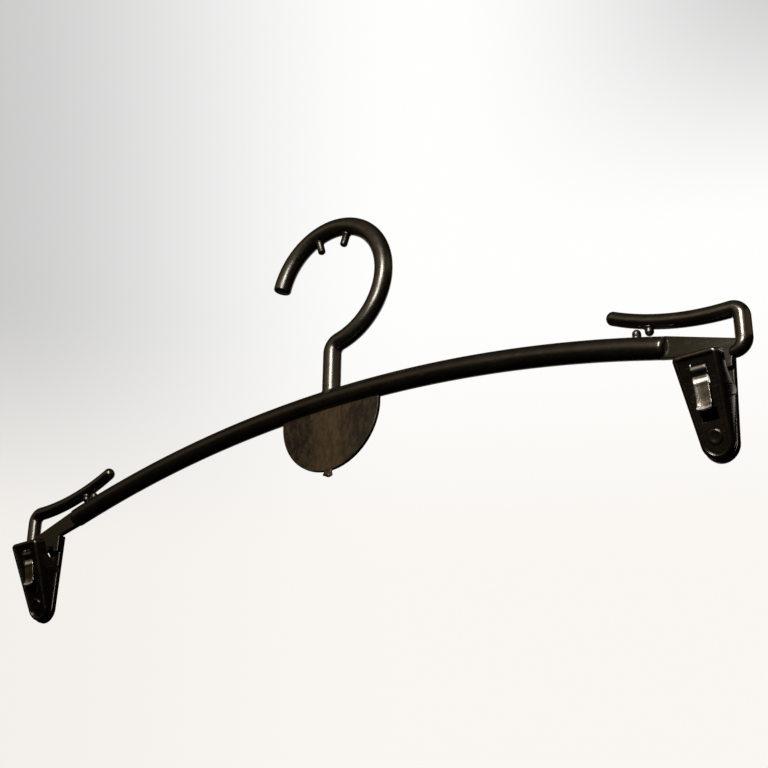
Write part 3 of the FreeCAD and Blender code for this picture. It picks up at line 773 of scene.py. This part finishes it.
class HANGER_OT_tab(bpy.types.Operator):
    """Half-round label tab with its torn gate stub"""
    bl_idname = "hanger.tab"
    bl_label = "Label tab"

    def execute(self, context):
        s, p = known(context)
        centre_z = p.bow_z - s.tab_drop
        r = s.tab_radius
        t = np.linspace(np.pi, 2 * np.pi, TAB_POINTS)
        round_normal = stacked(np.cos(t), np.sin(t))
        round_part = r * round_normal + [0.0, centre_z]
        top = p.bow_z - TAB_TOP_DROP
        outline = np.concatenate([round_part, [[r, top], [-r, top]]])
        normals = np.concatenate([round_normal, [[1.0, 0.0], [-1.0, 0.0]]])
        skin = Skin()
        plate(skin, outline, normals, -s.tab_thickness / 2, s.tab_thickness / 2, s.tab_edge)
        self.gate(skin, s, centre_z - r)
        add_piece(context, skin, "label_tab_plate", "hanger", "satin_tab", ["label_tab"])
        return {"FINISHED"}

    def gate(self, skin, s, low):
        """Torn stub: rings that narrow downwards, their radius waved by sines of the turn and of the height."""
        turn, t = spin_points(28), np.linspace(0, 1, 14)[:, None]
        ragged = 1 + 0.30 * np.sin(3 * turn + 7 * t) * t + 0.22 * np.sin(5 * turn - 11 * t) * t
        closing = np.sqrt(np.clip(1 - ((t - 0.72) / 0.28).clip(0) ** 2, 0, 1))
        wide = s.gate_width / 2 * (1 - 0.42 * t) * ragged * closing
        deep = 0.42 * s.tab_thickness * ragged * closing
        x = wide * np.cos(turn) + GATE_SWAY * np.sin(7 * t)
        skin.tube(stacked(x, deep * np.sin(turn), low + s.gate_length * (0.9 - 1.86 * t)), 0)


def jaw_half_width(s, p, z):
    """Half the fixed jaw's width at a height."""
    top = p.hinge_z + s.lever_above_hinge
    fall = (top - z) / (top - p.jaw_low)
    return s.jaw_top_width / 2 + fall * (s.jaw_tip_width - s.jaw_top_width) / 2


class HANGER_OT_end_plates(bpy.types.Operator):
    """Flat webs that carry on from the bow, with a tongue over each clip"""
    bl_idname = "hanger.end_plates"
    bl_label = "End plates"

    def execute(self, context):
        s, p = known(context)
        along = np.array([math.cos(s.web_slope), -math.sin(s.web_slope)])
        up = np.array([math.sin(s.web_slope), math.cos(s.web_slope)])
        root = np.array([s.bow_half_span, p.end_z])
        inner, outer = up * s.web_inner_height / 2, up * s.web_outer_height / 2
        start = root - along * s.bow_end_fillet
        stop = root + along * (s.post_reach - s.post_set_in) / along[0]
        far = stop + along * s.web_outer_height / 2
        fall = (stop - outer - start + inner)[1] / (stop - outer - start + inner)[0]
        ledge = p.clip_z - s.ledge_drop
        low = jaw_half_width(s, p, ledge)
        corners, radii = [start - inner], [s.web_corner_fillet]
        for side in (-1.0, 1.0):
            x = p.clip_x + side * jaw_half_width(s, p, p.clip_z - s.jaw_root_drop)
            joint = [x, (start - inner)[1] + (x - start[0]) * fall]
            tongue = [[p.clip_x + side * low, ledge], [p.clip_x + side * p.slot_half, ledge],
                      [p.clip_x + side * p.slot_half, p.slot_top]]
            corners += [joint] + tongue if side < 0 else tongue[::-1] + [joint]
            radii += [s.web_corner_fillet] * 4
        corners += [far - outer, far + outer, start + inner]
        radii += [s.web_outer_height / 2 * WEB_END_ROUND] * 2 + [s.web_corner_fillet]
        outline, normals = rounded_outline(corners, radii)
        skin = Skin()
        plate(skin, outline, normals, -s.web_thickness / 2, s.web_thickness / 2, s.web_edge)
        for end, side in ENDS.items():
            add_piece(context, skin, end + "_end_web", "hanger", "web_plastic", [end + "_end_plate"],
                      side < 0)
        return {"FINISHED"}


def tapered_side(top_half, top_z, corner, tip_half, tip_z, stops):
    """Right half of a tapered outline with a round tip, from its top middle to its tip, and its outward normals.

    The tip's arc ends where the straight side leaves it; the side passes through the given heights.
    """
    low = tip_z + tip_half
    slope = math.atan2(top_half - tip_half, top_z - low)
    flat = np.linspace(0, top_half - corner, 9)
    t = np.linspace(np.pi / 2, -slope, 12)
    corner_c = np.array([top_half - corner - corner * math.tan(slope), top_z - corner])
    turn = stacked(corner_c[0] + corner * np.cos(t), corner_c[1] + corner * np.sin(t))
    heights = np.array(sorted(stops, reverse=True))
    heights = heights[(heights < turn[-1, 1]) & (heights > low)]
    side = stacked(tip_half + (heights - low) * math.tan(slope), heights)
    t = np.linspace(-slope, -np.pi / 2, 26)
    tip = stacked(tip_half * np.cos(t), low + tip_half * np.sin(t))
    points = np.concatenate([stacked(flat, top_z)[:-1], turn, side, tip])
    normals = np.concatenate([
        np.repeat([[0.0, 1.0]], len(flat) - 1, 0), unit(turn - corner_c),
        np.repeat([[math.cos(slope), -math.sin(slope)]], len(side), 0), unit(tip - np.array([0.0, low]))])
    return points, normals


def box_loop(half, first, second):
    """Corners of an upright box in the XZ plane, from one height to another and back."""
    return np.array([[-half, first], [half, first], [half, second], [-half, second]])


def both_sides(right):
    """A closed loop from the right half of an outline: down the right side and up the left."""
    return np.concatenate([right, (right * np.array([-1.0, 1.0]))[-2:0:-1]])


class HANGER_OT_fixed_jaws(bpy.types.Operator):
    """Back jaws: tapered plates with a slot for the spring and a groove for the lever's nose"""
    bl_idname = "hanger.fixed_jaws"
    bl_label = "Fixed jaws"

    def execute(self, context):
        s, p = known(context)
        top = p.clip_z - s.jaw_root_drop
        e = s.jaw_edge
        slot = (p.slot_top, p.slot_top - s.spring_slot_height)
        groove = np.linspace(-1.6, 1.6, 21) * s.nose_radius + p.hinge_z
        stops = np.concatenate([np.linspace(top, p.jaw_low, 40), groove, slot])
        points, normals = tapered_side(jaw_half_width(s, p, top), top, JAW_TOP_CORNER, s.jaw_tip_width / 2,
                                       p.clip_z - s.jaw_drop, stops)
        back = s.grip_plane + s.jaw_thickness
        skin = Skin()
        loop, loop_n = both_sides(points), both_sides(normals)
        inset, depth = edge_rows(e)
        flat = loop[None] - loop_n[None] * inset[:, None, None]
        depth = depth[:, None]
        front_rows = at_depth(flat, self.front(s, p, flat[..., 1]) + depth)
        skin.tube(np.concatenate([front_rows, at_depth(flat, back - depth)[::-1]]))
        edge = points - normals * e
        half = np.minimum(p.slot_half, edge[:, 0])
        x = stacked(-edge[:, 0], -half, half, edge[:, 0])
        under = points[:, 1] <= slot[0] + HOLE_TOLERANCE
        over = points[:, 1] >= slot[1] - HOLE_TOLERANCE
        z = np.repeat((edge[:, 1] + np.where(under & over, e * normals[:, 1], 0.0))[:, None], 4, axis=1)
        keep = np.ones((len(points) - 1, 3), bool)
        keep[under[:-1] & over[1:], 1] = False
        for y in (self.front(s, p, z), back):
            skin.grid(stacked(x, y, z), keep=keep)
        skin.tube(at_depth(box_loop(p.slot_half, *slot), np.array([[s.grip_plane], [back]])))
        skin.points = [q + np.array([p.clip_x, 0.0, 0.0]) for q in skin.points]
        for end, side in ENDS.items():
            add_piece(context, skin, end + "_back_jaw", "hanger", "web_plastic", [end + "_fixed_jaw"],
                      side < 0)
        return {"FINISHED"}

    def front(self, s, p, z):
        """Front depth at a height: the grip plane, or the groove's circle where that lies deeper."""
        r = s.nose_radius + s.nose_clearance
        groove = p.hinge_y + np.sqrt(np.maximum(r ** 2 - np.square(z - p.hinge_z), 0))
        return np.maximum(s.grip_plane, np.where(np.abs(z - p.hinge_z) < r, groove, s.grip_plane))


def arm_path(s, p, turn):
    """Arm's centreline at angles along its bend, and the way that it runs."""
    path = stacked(p.arm_root_x - s.arm_bend_radius * np.sin(turn),
                   p.arm_z + s.arm_bend_radius * (1 - np.cos(turn)))
    return path, stacked(-np.cos(turn), np.sin(turn))


def arm_radius(s, p, turn):
    """Radius of the tapering arm at angles along its bend."""
    return p.post_r + turn / s.arm_bend_angle * (s.arm_tip_diameter / 2 - p.post_r)


class HANGER_OT_strap_arms(bpy.types.Operator):
    """Posts and the tapering strap arms that turn back over the bow, each in one rod that bends"""
    bl_idname = "hanger.strap_arms"
    bl_label = "Strap arms"

    def execute(self, context):
        s, p = known(context)
        bend_z, corner_z = p.foot_z + s.foot_bend_radius, p.arm_z - s.post_corner_radius
        turn = np.linspace(0, s.arm_bend_angle, ARM_STATIONS)
        post = line_path((p.post_x, bend_z), (p.post_x, corner_z), POST_STATIONS)
        corner = arc_path((p.arm_root_x, corner_z), s.post_corner_radius, 0, np.pi / 2, CORNER_STATIONS)
        path, along, radius = chained(
            1, self.foot(s, p, bend_z), (*post, np.full(POST_STATIONS, p.post_r)),
            (*corner, np.full(CORNER_STATIONS, p.post_r)), (*arm_path(s, p, turn), arm_radius(s, p, turn)))
        rod = capped(path, along, radius, radius[0] * FOOT_ROUND, radius[-1] * TIP_ROUND)
        skin = Skin()
        skin.tube(rod_rings(*rod, ARM_ROUND))
        for end, side in ENDS.items():
            piece = add_piece(context, skin, end + "_arm_rod", None, "arm_plastic",
                              [end + "_strap_post", end + "_strap_arm"], side < 0)
            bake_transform(piece)
        return {"FINISHED"}

    def foot(self, s, p, bend_z):
        """Quarter turn of the foot: its radius grows as the sine of the turn, and its outer edge keeps to one arc."""
        t = quarter(FOOT_STATIONS)
        radius = s.foot_tip_diameter / 2 + np.sin(t) * (p.post_r - s.foot_tip_diameter / 2)
        reach = s.foot_bend_radius + p.post_r - radius
        path = stacked(p.foot_x + reach * np.sin(t), bend_z - reach * np.cos(t))
        return path, stacked(np.cos(t), np.sin(t)), radius


class HANGER_OT_beads(bpy.types.Operator):
    """Domed beads that close the strap slots, on the bow and under the arms"""
    bl_idname = "hanger.beads"
    bl_label = "Beads"

    def execute(self, context):
        s, p = known(context)
        x = s.bow_half_span - s.bow_bead_set_in
        arm_z, arm_r = self.arm_at(s, p, x)
        bow_bead = self.bead(s, x, bow_height(p, x), p.bow_r, arm_z - arm_r - s.bead_gap)
        x = s.bow_half_span - s.arm_bead_set_in
        arm_z, arm_r = self.arm_at(s, p, x)
        arm_bead = self.bead(s, x, arm_z, arm_r, bow_height(p, x) + p.bow_r + s.bead_gap)
        for end, side in ENDS.items():
            for skin, name, body in ((bow_bead, "_bow_bead", "hanger"), (arm_bead, "_arm_bead", end + "_arm")):
                add_piece(context, skin, end + name + "_dome", body, "moulded_plastic", [end + name],
                          side < 0)
        return {"FINISHED"}

    def arm_at(self, s, p, x):
        """Height of the arm's centreline over a place along X, and its radius there."""
        turn = math.asin((p.arm_root_x - x) / s.arm_bend_radius)
        return arm_path(s, p, turn)[0][1], arm_radius(s, p, turn)

    def bead(self, s, x, root, carrier, tip):
        """A turned peg from its carrier's axis to a domed tip, with a small flare where it leaves the carrier."""
        r, flare = s.bead_diameter / 2, s.stem_flare / 2
        way, span = math.copysign(1.0, tip - root), abs(tip - root)
        t = quarter(12)
        out = np.concatenate([[0.0, carrier * 0.97, carrier + 0.4 * flare, carrier + flare, span - r],
                              span - r + r * np.sin(t)[1:]])
        wide = np.concatenate([[r, r + flare, r + 0.35 * flare, r, r], r * np.cos(t)[1:]])
        path = stacked(x, root + way * out)
        skin = Skin()
        skin.tube(rod_rings(path, np.repeat([[0.0, way]], len(out), 0), wide, THIN_ROUND), 0)
        return skin


def turned_lever(s, p, points):
    """Points of the lever's own frame, tilted about its hinge and set in place."""
    c, k = math.cos(s.lever_tilt), math.sin(s.lever_tilt)
    x, y, z = np.moveaxis(np.asarray(points), -1, 0)
    return stacked(x + p.clip_x, p.hinge_y + y * c - z * k, p.hinge_z + y * k + z * c)


class HANGER_OT_levers(bpy.types.Operator):
    """Lever jaws: a rim and cheeks carried round the outline, a pierced panel and a round boss"""
    bl_idname = "hanger.levers"
    bl_label = "Lever jaws"

    def execute(self, context):
        s, p = known(context)
        skin = Skin()
        self.rim(skin, s, p)
        self.panel(skin, s, p)
        self.boss(skin, s)
        skin.points = [turned_lever(s, p, q) for q in skin.points]
        for end, side in ENDS.items():
            add_piece(context, skin, end + "_lever_shell", end + "_lever", "lever_plastic",
                      [end + "_lever_jaw"], side < 0)
        return {"FINISHED"}

    def grip(self, s, p, z, gap):
        """Depth of the grip plane in the lever's frame, less a gap."""
        return (s.grip_plane - p.hinge_y - gap + z * math.sin(s.lever_tilt)) / math.cos(s.lever_tilt)

    def back(self, s, p, z):
        """Depth of the cheeks' back edge: straight runs, with the nose's circle where that lies deeper."""
        land = p.lever_tip + s.grip_land_length
        cheek = s.cheek_depth - s.lever_face_depth
        knots = [(p.lever_tip, self.grip(s, p, p.lever_tip, s.grip_gap)), (land, self.grip(s, p, land, s.grip_gap)),
                 (land + TINY, self.grip(s, p, land, s.cheek_relief)),
                 (-s.cheek_relief_start, self.grip(s, p, -s.cheek_relief_start, s.cheek_relief)),
                 (-s.nose_radius, 0.0), (s.nose_radius, 0.0), (s.cheek_slope_top, cheek), (s.lever_above_hinge, cheek)]
        run = np.interp(z, [k[0] for k in knots], [k[1] for k in knots])
        nose = np.sqrt(np.maximum(s.nose_radius ** 2 - np.square(z), 0))
        return np.where(np.abs(z) < s.nose_radius, np.maximum(run, nose), run)

    def rim(self, skin, s, p):
        """Closed profile of (inset, depth) carried round the outline.

        It goes up the outer wall, over the rounded rim, down to the panel and along the inside of the cheek. Below
        the grip land's top the inside runs to the middle line, which makes the tip solid.
        """
        land = p.lever_tip + s.grip_land_length
        low = p.lever_tip + s.lever_tip_width / 2
        stops = np.concatenate([np.linspace(low, s.lever_above_hinge, 60), np.linspace(-1, 1, 25) * s.nose_radius,
                                [land + CHEEK_HAIR, land - CHEEK_HAIR, s.cheek_slope_top, -s.cheek_relief_start]])
        right, normal = tapered_side(s.lever_top_width / 2, s.lever_above_hinge, s.lever_corner_radius,
                                     s.lever_tip_width / 2, p.lever_tip, stops)
        loop, normal = both_sides(right), both_sides(normal)
        across = np.abs(normal[:, 0])
        to_middle = np.where(across > TINY, np.abs(loop[:, 0]) / np.maximum(across, TINY), s.lever_tip_width / 2)
        solid = loop[:, 1] < land
        deep = np.where(solid, to_middle, s.cheek_thickness)
        soft = np.where(solid, 0.0, CHEEK_SOFT)
        face = -s.lever_face_depth
        panel = face + s.lever_rim_height
        sink = panel + s.lever_panel_thickness
        wide, e, i = s.lever_rim_width, s.lever_edge, 0.21 * s.lever_rim_width
        t = quarter()
        insets = [*(e * (1 - np.cos(t))), *(wide - i + i * np.sin(t)), wide + RIM_OVERLAP, deep]
        depths = [*(face + e * (1 - np.sin(t))), *(face + i * (1 - np.cos(t))), panel + RIM_SINK, sink - RIM_SINK]
        back_insets = [deep, deep - 0.3 * soft, deep - soft, CHEEK_SOFT, CHEEK_SOFT_OUT, 0.0]
        back_drops = [soft, 0.3 * soft, 0.0, 0.0, CHEEK_SOFT_OUT, CHEEK_SOFT]
        top_edge = np.where(loop[:, 1] > 0, smooth((across - 0.25) / 0.6), 1.0)
        top = sink - CHEEK_HAIR
        rows = [self.row(loop, normal, inset, depth) for inset, depth in zip(insets, depths)]
        for inset, drop in zip(back_insets, back_drops):
            z = self.row(loop, normal, inset, 0.0)[:, 2]
            back = self.back(s, p, np.where(solid, np.minimum(z, land), z))
            rows.append(self.row(loop, normal, inset, top + (back - top) * top_edge - drop))
        skin.tube(np.array(rows + rows[:1]))

    def row(self, loop, normal, inset, depth):
        """One line of the profile: the outline moved in by an inset, at a depth."""
        return at_depth(loop - normal * np.reshape(inset, (-1, 1)), depth)

    def panel(self, skin, s, p):
        """Panel under the rim as a grid of three columns, left open at the window and the slot, with bevelled walls."""
        face = -s.lever_face_depth + s.lever_rim_height
        sink = face + s.lever_panel_thickness
        bevel = PANEL_BEVEL
        land = p.lever_tip + s.grip_land_length
        low = p.lever_tip + s.lever_tip_width / 2
        slope = (s.lever_top_width - s.lever_tip_width) / 2 / (s.lever_above_hinge - low)
        holes = [(-s.lever_slot_low, -s.lever_slot_high), (s.window_low, s.window_high)]
        tip_r = s.lever_tip_width / 2 - PANEL_TIP_SEAM
        z = np.concatenate([low - tip_r * np.cos(quarter(20)), np.linspace(low, land, 6)[1:],
                            np.array(holes).ravel() + np.array([-1, 1, -1, 1]) * bevel,
                            [s.lever_above_hinge - PANEL_TOP_SEAM]])
        z = np.unique(z.round(9))
        tip_half = np.sqrt(np.maximum(tip_r ** 2 - np.square(np.minimum(z - low, 0)), 0))
        side = s.lever_tip_width / 2 + (z - low) * slope - np.where(z > land, PANEL_SIDE_SEAM, PANEL_TIP_SEAM)
        edge = np.where(z < low, tip_half, side)
        half = np.minimum(s.window_width / 2 + bevel, edge)
        x = stacked(-edge, -half, half, edge)
        tall = np.repeat(z[:, None], 4, axis=1)
        keep = np.ones((len(z) - 1, 3), bool)
        for bottom, top in holes:
            keep[(z[:-1] > bottom - 2 * bevel) & (z[1:] < top + 2 * bevel), 1] = False
        for y in (face, sink):
            skin.grid(stacked(x, y, tall), keep=keep)
        rim = np.concatenate([stacked(edge, z), stacked(-edge, z)[::-1]])
        skin.tube(at_depth(rim, np.array([[face], [sink]])))
        grow = box_loop(bevel, -bevel, bevel)
        depths = np.array([face, face + 0.3 * bevel, face + bevel, sink - bevel, sink])[:, None]
        for bottom, top in holes:
            box = box_loop(s.window_width / 2, bottom, top)
            skin.tube(at_depth(np.array([box + grow, box + 0.3 * grow, box, box, box + grow]), depths))

    def boss(self, skin, s):
        """Round boss with a soft rim and a shallow dish, turned about an axis through the panel."""
        r, h = s.boss_diameter / 2, s.boss_height
        base = -s.lever_face_depth + s.lever_rim_height
        e, t, turn = 0.55 * h, quarter(), spin_points(48)
        inward = np.linspace(1.0, 0.0, 8)
        wide = np.concatenate([[r + 0.25 * h, r + 0.06 * h], r - e + e * np.cos(t), 0.68 * r * inward])[:, None]
        dip = 0.35 * h * (1 - inward ** 2)
        tall = np.concatenate([[-BOSS_SINK, 0.12 * h], h - e + e * np.sin(t), h - dip])[:, None]
        skin.tube(stacked(wide * np.cos(turn), base - tall, wide * np.sin(turn) - s.boss_drop))


def smooth_curve(points, count):
    """Natural cubic spline through points, by chord length, sampled evenly: C'' solves a tridiagonal system."""
    points = np.asarray(points, float)
    t = np.concatenate([[0.0], np.cumsum(np.linalg.norm(np.diff(points, axis=0), axis=1))])
    h = np.diff(t)[:, None]
    n = len(points)
    system = np.eye(n)
    inner = np.arange(1, n - 1)
    system[inner, inner - 1] = h[:-1, 0]
    system[inner, inner] = 2 * (h[:-1, 0] + h[1:, 0])
    system[inner, inner + 1] = h[1:, 0]
    slope = np.diff(points, axis=0) / h
    right = np.zeros_like(points)
    right[1:-1] = 6 * np.diff(slope, axis=0)
    bend = np.linalg.solve(system, right)
    at = np.linspace(0, t[-1], count)
    k = np.clip(np.searchsorted(t, at, side="right") - 1, 0, n - 2)
    a, b, d = (t[k + 1] - at)[:, None], (at - t[k])[:, None], h[k]
    curve = (bend[k] * a ** 3 + bend[k + 1] * b ** 3) / (6 * d)
    return curve + (points[k] / d - bend[k] * d / 6) * a + (points[k + 1] / d - bend[k + 1] * d / 6) * b


class HANGER_OT_springs(bpy.types.Operator):
    """Strip springs: a rounded strip carried along a smooth curve, as a front strap and a back leg"""
    bl_idname = "hanger.springs"
    bl_label = "Springs"

    def execute(self, context):
        s, p = known(context)
        top = p.slot_top - s.spring_top_gap
        back = s.grip_plane + s.jaw_thickness + s.spring_seat_gap + s.spring_thickness / 2
        knots = np.concatenate([SPRING_FRONT * [-s.spring_reach, -s.spring_drop],
                                SPRING_BACK * [back, -s.spring_drop]]) + [0.0, top]
        curve = smooth_curve(knots, SPRING_STATIONS)
        middle = int(np.argmax(curve[:, 0] > 0))
        front, down = curve[:, 0] / s.spring_reach, (top - curve[:, 1]) / s.spring_drop
        narrow = np.where(down < 0.25, smooth((front + 0.72) / 0.30), 0.0)
        narrow[middle:] = 1.0
        half = (s.spring_width + narrow * (s.spring_neck_width - s.spring_width)) / 2
        lip, hollow = np.clip(down * 10 - 9, 0, 1), np.clip(down * 8 - 3.4, 0, 1)
        dish = (s.spring_dish * hollow + s.spring_lip_dish * lip) * (1 - narrow)
        spans = slice(middle + 1), slice(middle - 2, None)
        strap, leg = (self.strip(s, p, curve[k], half[k], dish[k]) for k in spans)
        for end, side in ENDS.items():
            node = [end + "_clip_spring"]
            piece = add_piece(context, strap, end + "_spring_strap", None, "spring_steel", node, side < 0)
            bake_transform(piece)
            add_piece(context, leg, end + "_spring_leg", "hanger", "spring_steel", node, side < 0)
        return {"FINISHED"}

    def strip(self, s, p, curve, half, dish):
        """Rounded rectangle of the strip's half width and thickness carried along a curve in the YZ plane.

        At a share q of the half width it is hollowed by dish q**2.
        """
        along = unit(np.gradient(curve, axis=0))
        w, h, r = half[:, None], s.spring_thickness / 2, STRIP_EDGE
        t = quarter(5)
        flat, side = np.linspace(-1, 1, 13)[1:-1] * (w - r), w - r + r * np.cos(t)
        x = np.concatenate([side, flat[:, ::-1], -side[:, ::-1], -side, flat, side[:, ::-1]], axis=1)
        rise, level = h - r + r * np.sin(t), np.full(flat.shape[1], h)
        n = np.concatenate([rise, level, rise[::-1], -rise, -level, -rise[::-1]])
        n = n + dish[:, None] * np.square(x / w)
        y = curve[:, :1] - along[:, 1:] * n
        z = curve[:, 1:] + along[:, :1] * n
        skin = Skin()
        skin.tube(stacked(p.clip_x - s.spring_play + x, y, z), 0, -1)
        return skin


class HANGER_OT_stage(bpy.types.Operator):
    """Pale floor, soft studio lamps, background and camera"""
    bl_idname = "hanger.stage"
    bl_label = "Stage"

    def execute(self, context):
        self.floor(context)
        self.world(context)
        for name, (place, size, power) in LAMPS.items():
            self.lamp(context, name, place, size, power)
        self.camera(context)
        context.scene.view_settings.view_transform = "Standard"
        return {"FINISHED"}

    def floor(self, context):
        """Wide disc well below the hanging object."""
        skin = Skin()
        turn, ring = spin_points(96), np.array([0.0, 0.5, 1.5, 4.0, 12.0])[:, None]
        skin.tube(stacked(ring * np.cos(turn), ring * np.sin(turn), FLOOR_HEIGHT))
        floor = skin.build("pale_floor")
        if floor.data.polygons[0].normal.z < 0:
            floor.data.flip_normals()
        material, g = new_material("pale_floor")
        tint = context.scene.hanger_finish.floor
        close_material(g, {"Base Color": rgba(tint), "Roughness": 0.9, "Emission Color": rgba(tint),
                           "Emission Strength": FLOOR_GLOW})
        floor.data.materials.append(material)
        floor.visible_glossy = False
        floor.visible_diffuse = False

    def world(self, context):
        """Pale backdrop for the camera and for reflections from behind, and a warm glow around the key lamp.

        The glow falls with the angle a from its way as ((cos a + 0.5) / 1.5) ^ 2.6, is joined by a weak fill from the
        right and from behind, and fades below the horizon.
        """
        world = bpy.data.worlds.new("pale_studio")
        world.use_nodes = True
        context.scene.world = world
        g = Graph(world.node_tree)
        past_way = (-GLOW_WAY[1], GLOW_WAY[0], 0.0)
        ways = (UP_WAY, ACROSS_WAY, AWAY_WAY, GLOW_WAY, past_way, FILL_WAY)
        up, across, behind, near, past, aside = (g.along(way, "Generated") for way in ways)
        wing = ((near + 0.5) / 1.5).at_least(0.0) ** 2.6 * (1.0 - past.step(0.10, 0.50) * 0.8) * 0.75
        wing = wing * (1.0 - up.step(0.45, 0.70) * 0.75)
        fill = aside.step(0.60, 0.82) * up.step(0.33, 0.43) * 0.22
        rear = behind.step(0.58, 0.85) * 0.40
        glow = (wing + fill + rear) * up.step(-0.10, 0.26)
        room = g.node("ShaderNodeBackground", None, {"Color": GLOW_TINT, "Strength": glow})
        left = across.step(-0.30, 0.02) * 0.42 + 0.58
        right = 1.0 - across.step(0.03, 0.30) * up.step(0.50, 0.66) * 0.45
        low = 1.0 - up.step(0.30, 0.47)
        shade = 1.0 - (1.0 - left * right) * (1.0 - low * 0.85) * behind.step(0.55, 0.75)
        tone = g.blend(up.step(0.30, 0.50), LOW_BACKDROP, HIGH_BACKDROP)
        backdrop = g.node("ShaderNodeBackground", None, {"Color": tone, "Strength": shade})
        rays = "ShaderNodeLightPath"
        mirrored = behind.step(0.62, 0.80) * across.step(-0.20, 0.30) * up.step(-0.35, 0.10)
        seen = g.node(rays, output="Is Camera Ray") + g.node(rays, output="Is Glossy Ray") * mirrored
        seen = seen + g.node(rays, output="Is Transmission Ray")
        surface = g.node("ShaderNodeMixShader", None, {0: seen, 1: room, 2: backdrop})
        g.node("ShaderNodeOutputWorld", None, {"Surface": surface})

    def lamp(self, context, name, place, size, power):
        """Rectangular softbox that faces the middle of the hanger."""
        data = bpy.data.lights.new(name, "AREA")
        data.shape, data.size, data.size_y = "RECTANGLE", size[0], size[1]
        data.energy, data.color = power, LAMP_TINT
        look = unit(LAMP_AIM - place)
        right = unit(np.cross(look, [0.0, 0.0, 1.0]))
        lamp = self.stand(context, name, data, place, right, look, np.cross(right, look))
        lamp.visible_camera = False

    def camera(self, context):
        """Camera below and to the right, turned by yaw, pitch and roll: R = Ry(roll) Rx(pitch) Rz(yaw)."""
        turns = ((CAMERA_ROLL, "Y"), (CAMERA_PITCH, "X"), (CAMERA_YAW, "Z"))
        roll, pitch, yaw = (Matrix.Rotation(turn, 3, axis) for turn, axis in turns)
        data = bpy.data.cameras.new("photo_camera")
        data.sensor_width, data.lens, data.clip_start = CAMERA_SENSOR, CAMERA_LENS, CAMERA_NEAR
        context.scene.camera = self.stand(context, "photo_camera", data, CAMERA_PLACE, *(roll @ pitch @ yaw))

    def stand(self, context, name, data, place, right, look, up):
        """A lamp or camera at a place, turned to look one way with another way up."""
        thing = bpy.data.objects.new(name, data)
        thing.matrix_world = Matrix([[right[i], up[i], -look[i], place[i]] for i in range(3)] + [[0, 0, 0, 1]])
        context.scene.collection.objects.link(thing)
        return thing


STEPS = (HANGER_OT_bow, HANGER_OT_hook, HANGER_OT_pegs, HANGER_OT_tab, HANGER_OT_end_plates, HANGER_OT_fixed_jaws,
         HANGER_OT_strap_arms, HANGER_OT_beads, HANGER_OT_levers, HANGER_OT_springs, HANGER_OT_stage)


class HANGER_PT_panel(bpy.types.Panel):
    """Sidebar list of the hanger's steps, sizes and finishes"""
    bl_idname = "HANGER_PT_panel"
    bl_label = "Skirt hanger"
    bl_space_type = "VIEW_3D"
    bl_region_type = "UI"
    bl_category = "Hanger"

    def draw(self, context):
        """Buttons for the steps, then boxes with the sizes and the finishes."""
        for step in STEPS:
            self.layout.operator(step.bl_idname)
        for group in (context.scene.hanger_sizes, context.scene.hanger_finish):
            box = self.layout.box()
            for name in group.__annotations__:
                box.prop(group, name)


CLASSES = (HangerSizes, HangerFinish) + STEPS + (HANGER_PT_panel,)


def register():
    """Registers the classes and hangs the two groups on the scene."""
    for item in CLASSES:
        bpy.utils.register_class(item)
    bpy.types.Scene.hanger_sizes = bpy.props.PointerProperty(type=HangerSizes)
    bpy.types.Scene.hanger_finish = bpy.props.PointerProperty(type=HangerFinish)


def unregister():
    """Takes back what register did."""
    del bpy.types.Scene.hanger_finish
    del bpy.types.Scene.hanger_sizes
    for item in reversed(CLASSES):
        bpy.utils.unregister_class(item)


def main():
    """Builds every piece and the stage, and notes both boxes."""
    register()
    bpy.ops.hanger.bow()
    bpy.ops.hanger.hook()
    bpy.ops.hanger.pegs()
    bpy.ops.hanger.tab()
    bpy.ops.hanger.end_plates()
    bpy.ops.hanger.fixed_jaws()
    bpy.ops.hanger.strap_arms()
    bpy.ops.hanger.beads()
    bpy.ops.hanger.levers()
    bpy.ops.hanger.springs()
    bpy.ops.hanger.stage()


if __name__ == "__main__":
    main()
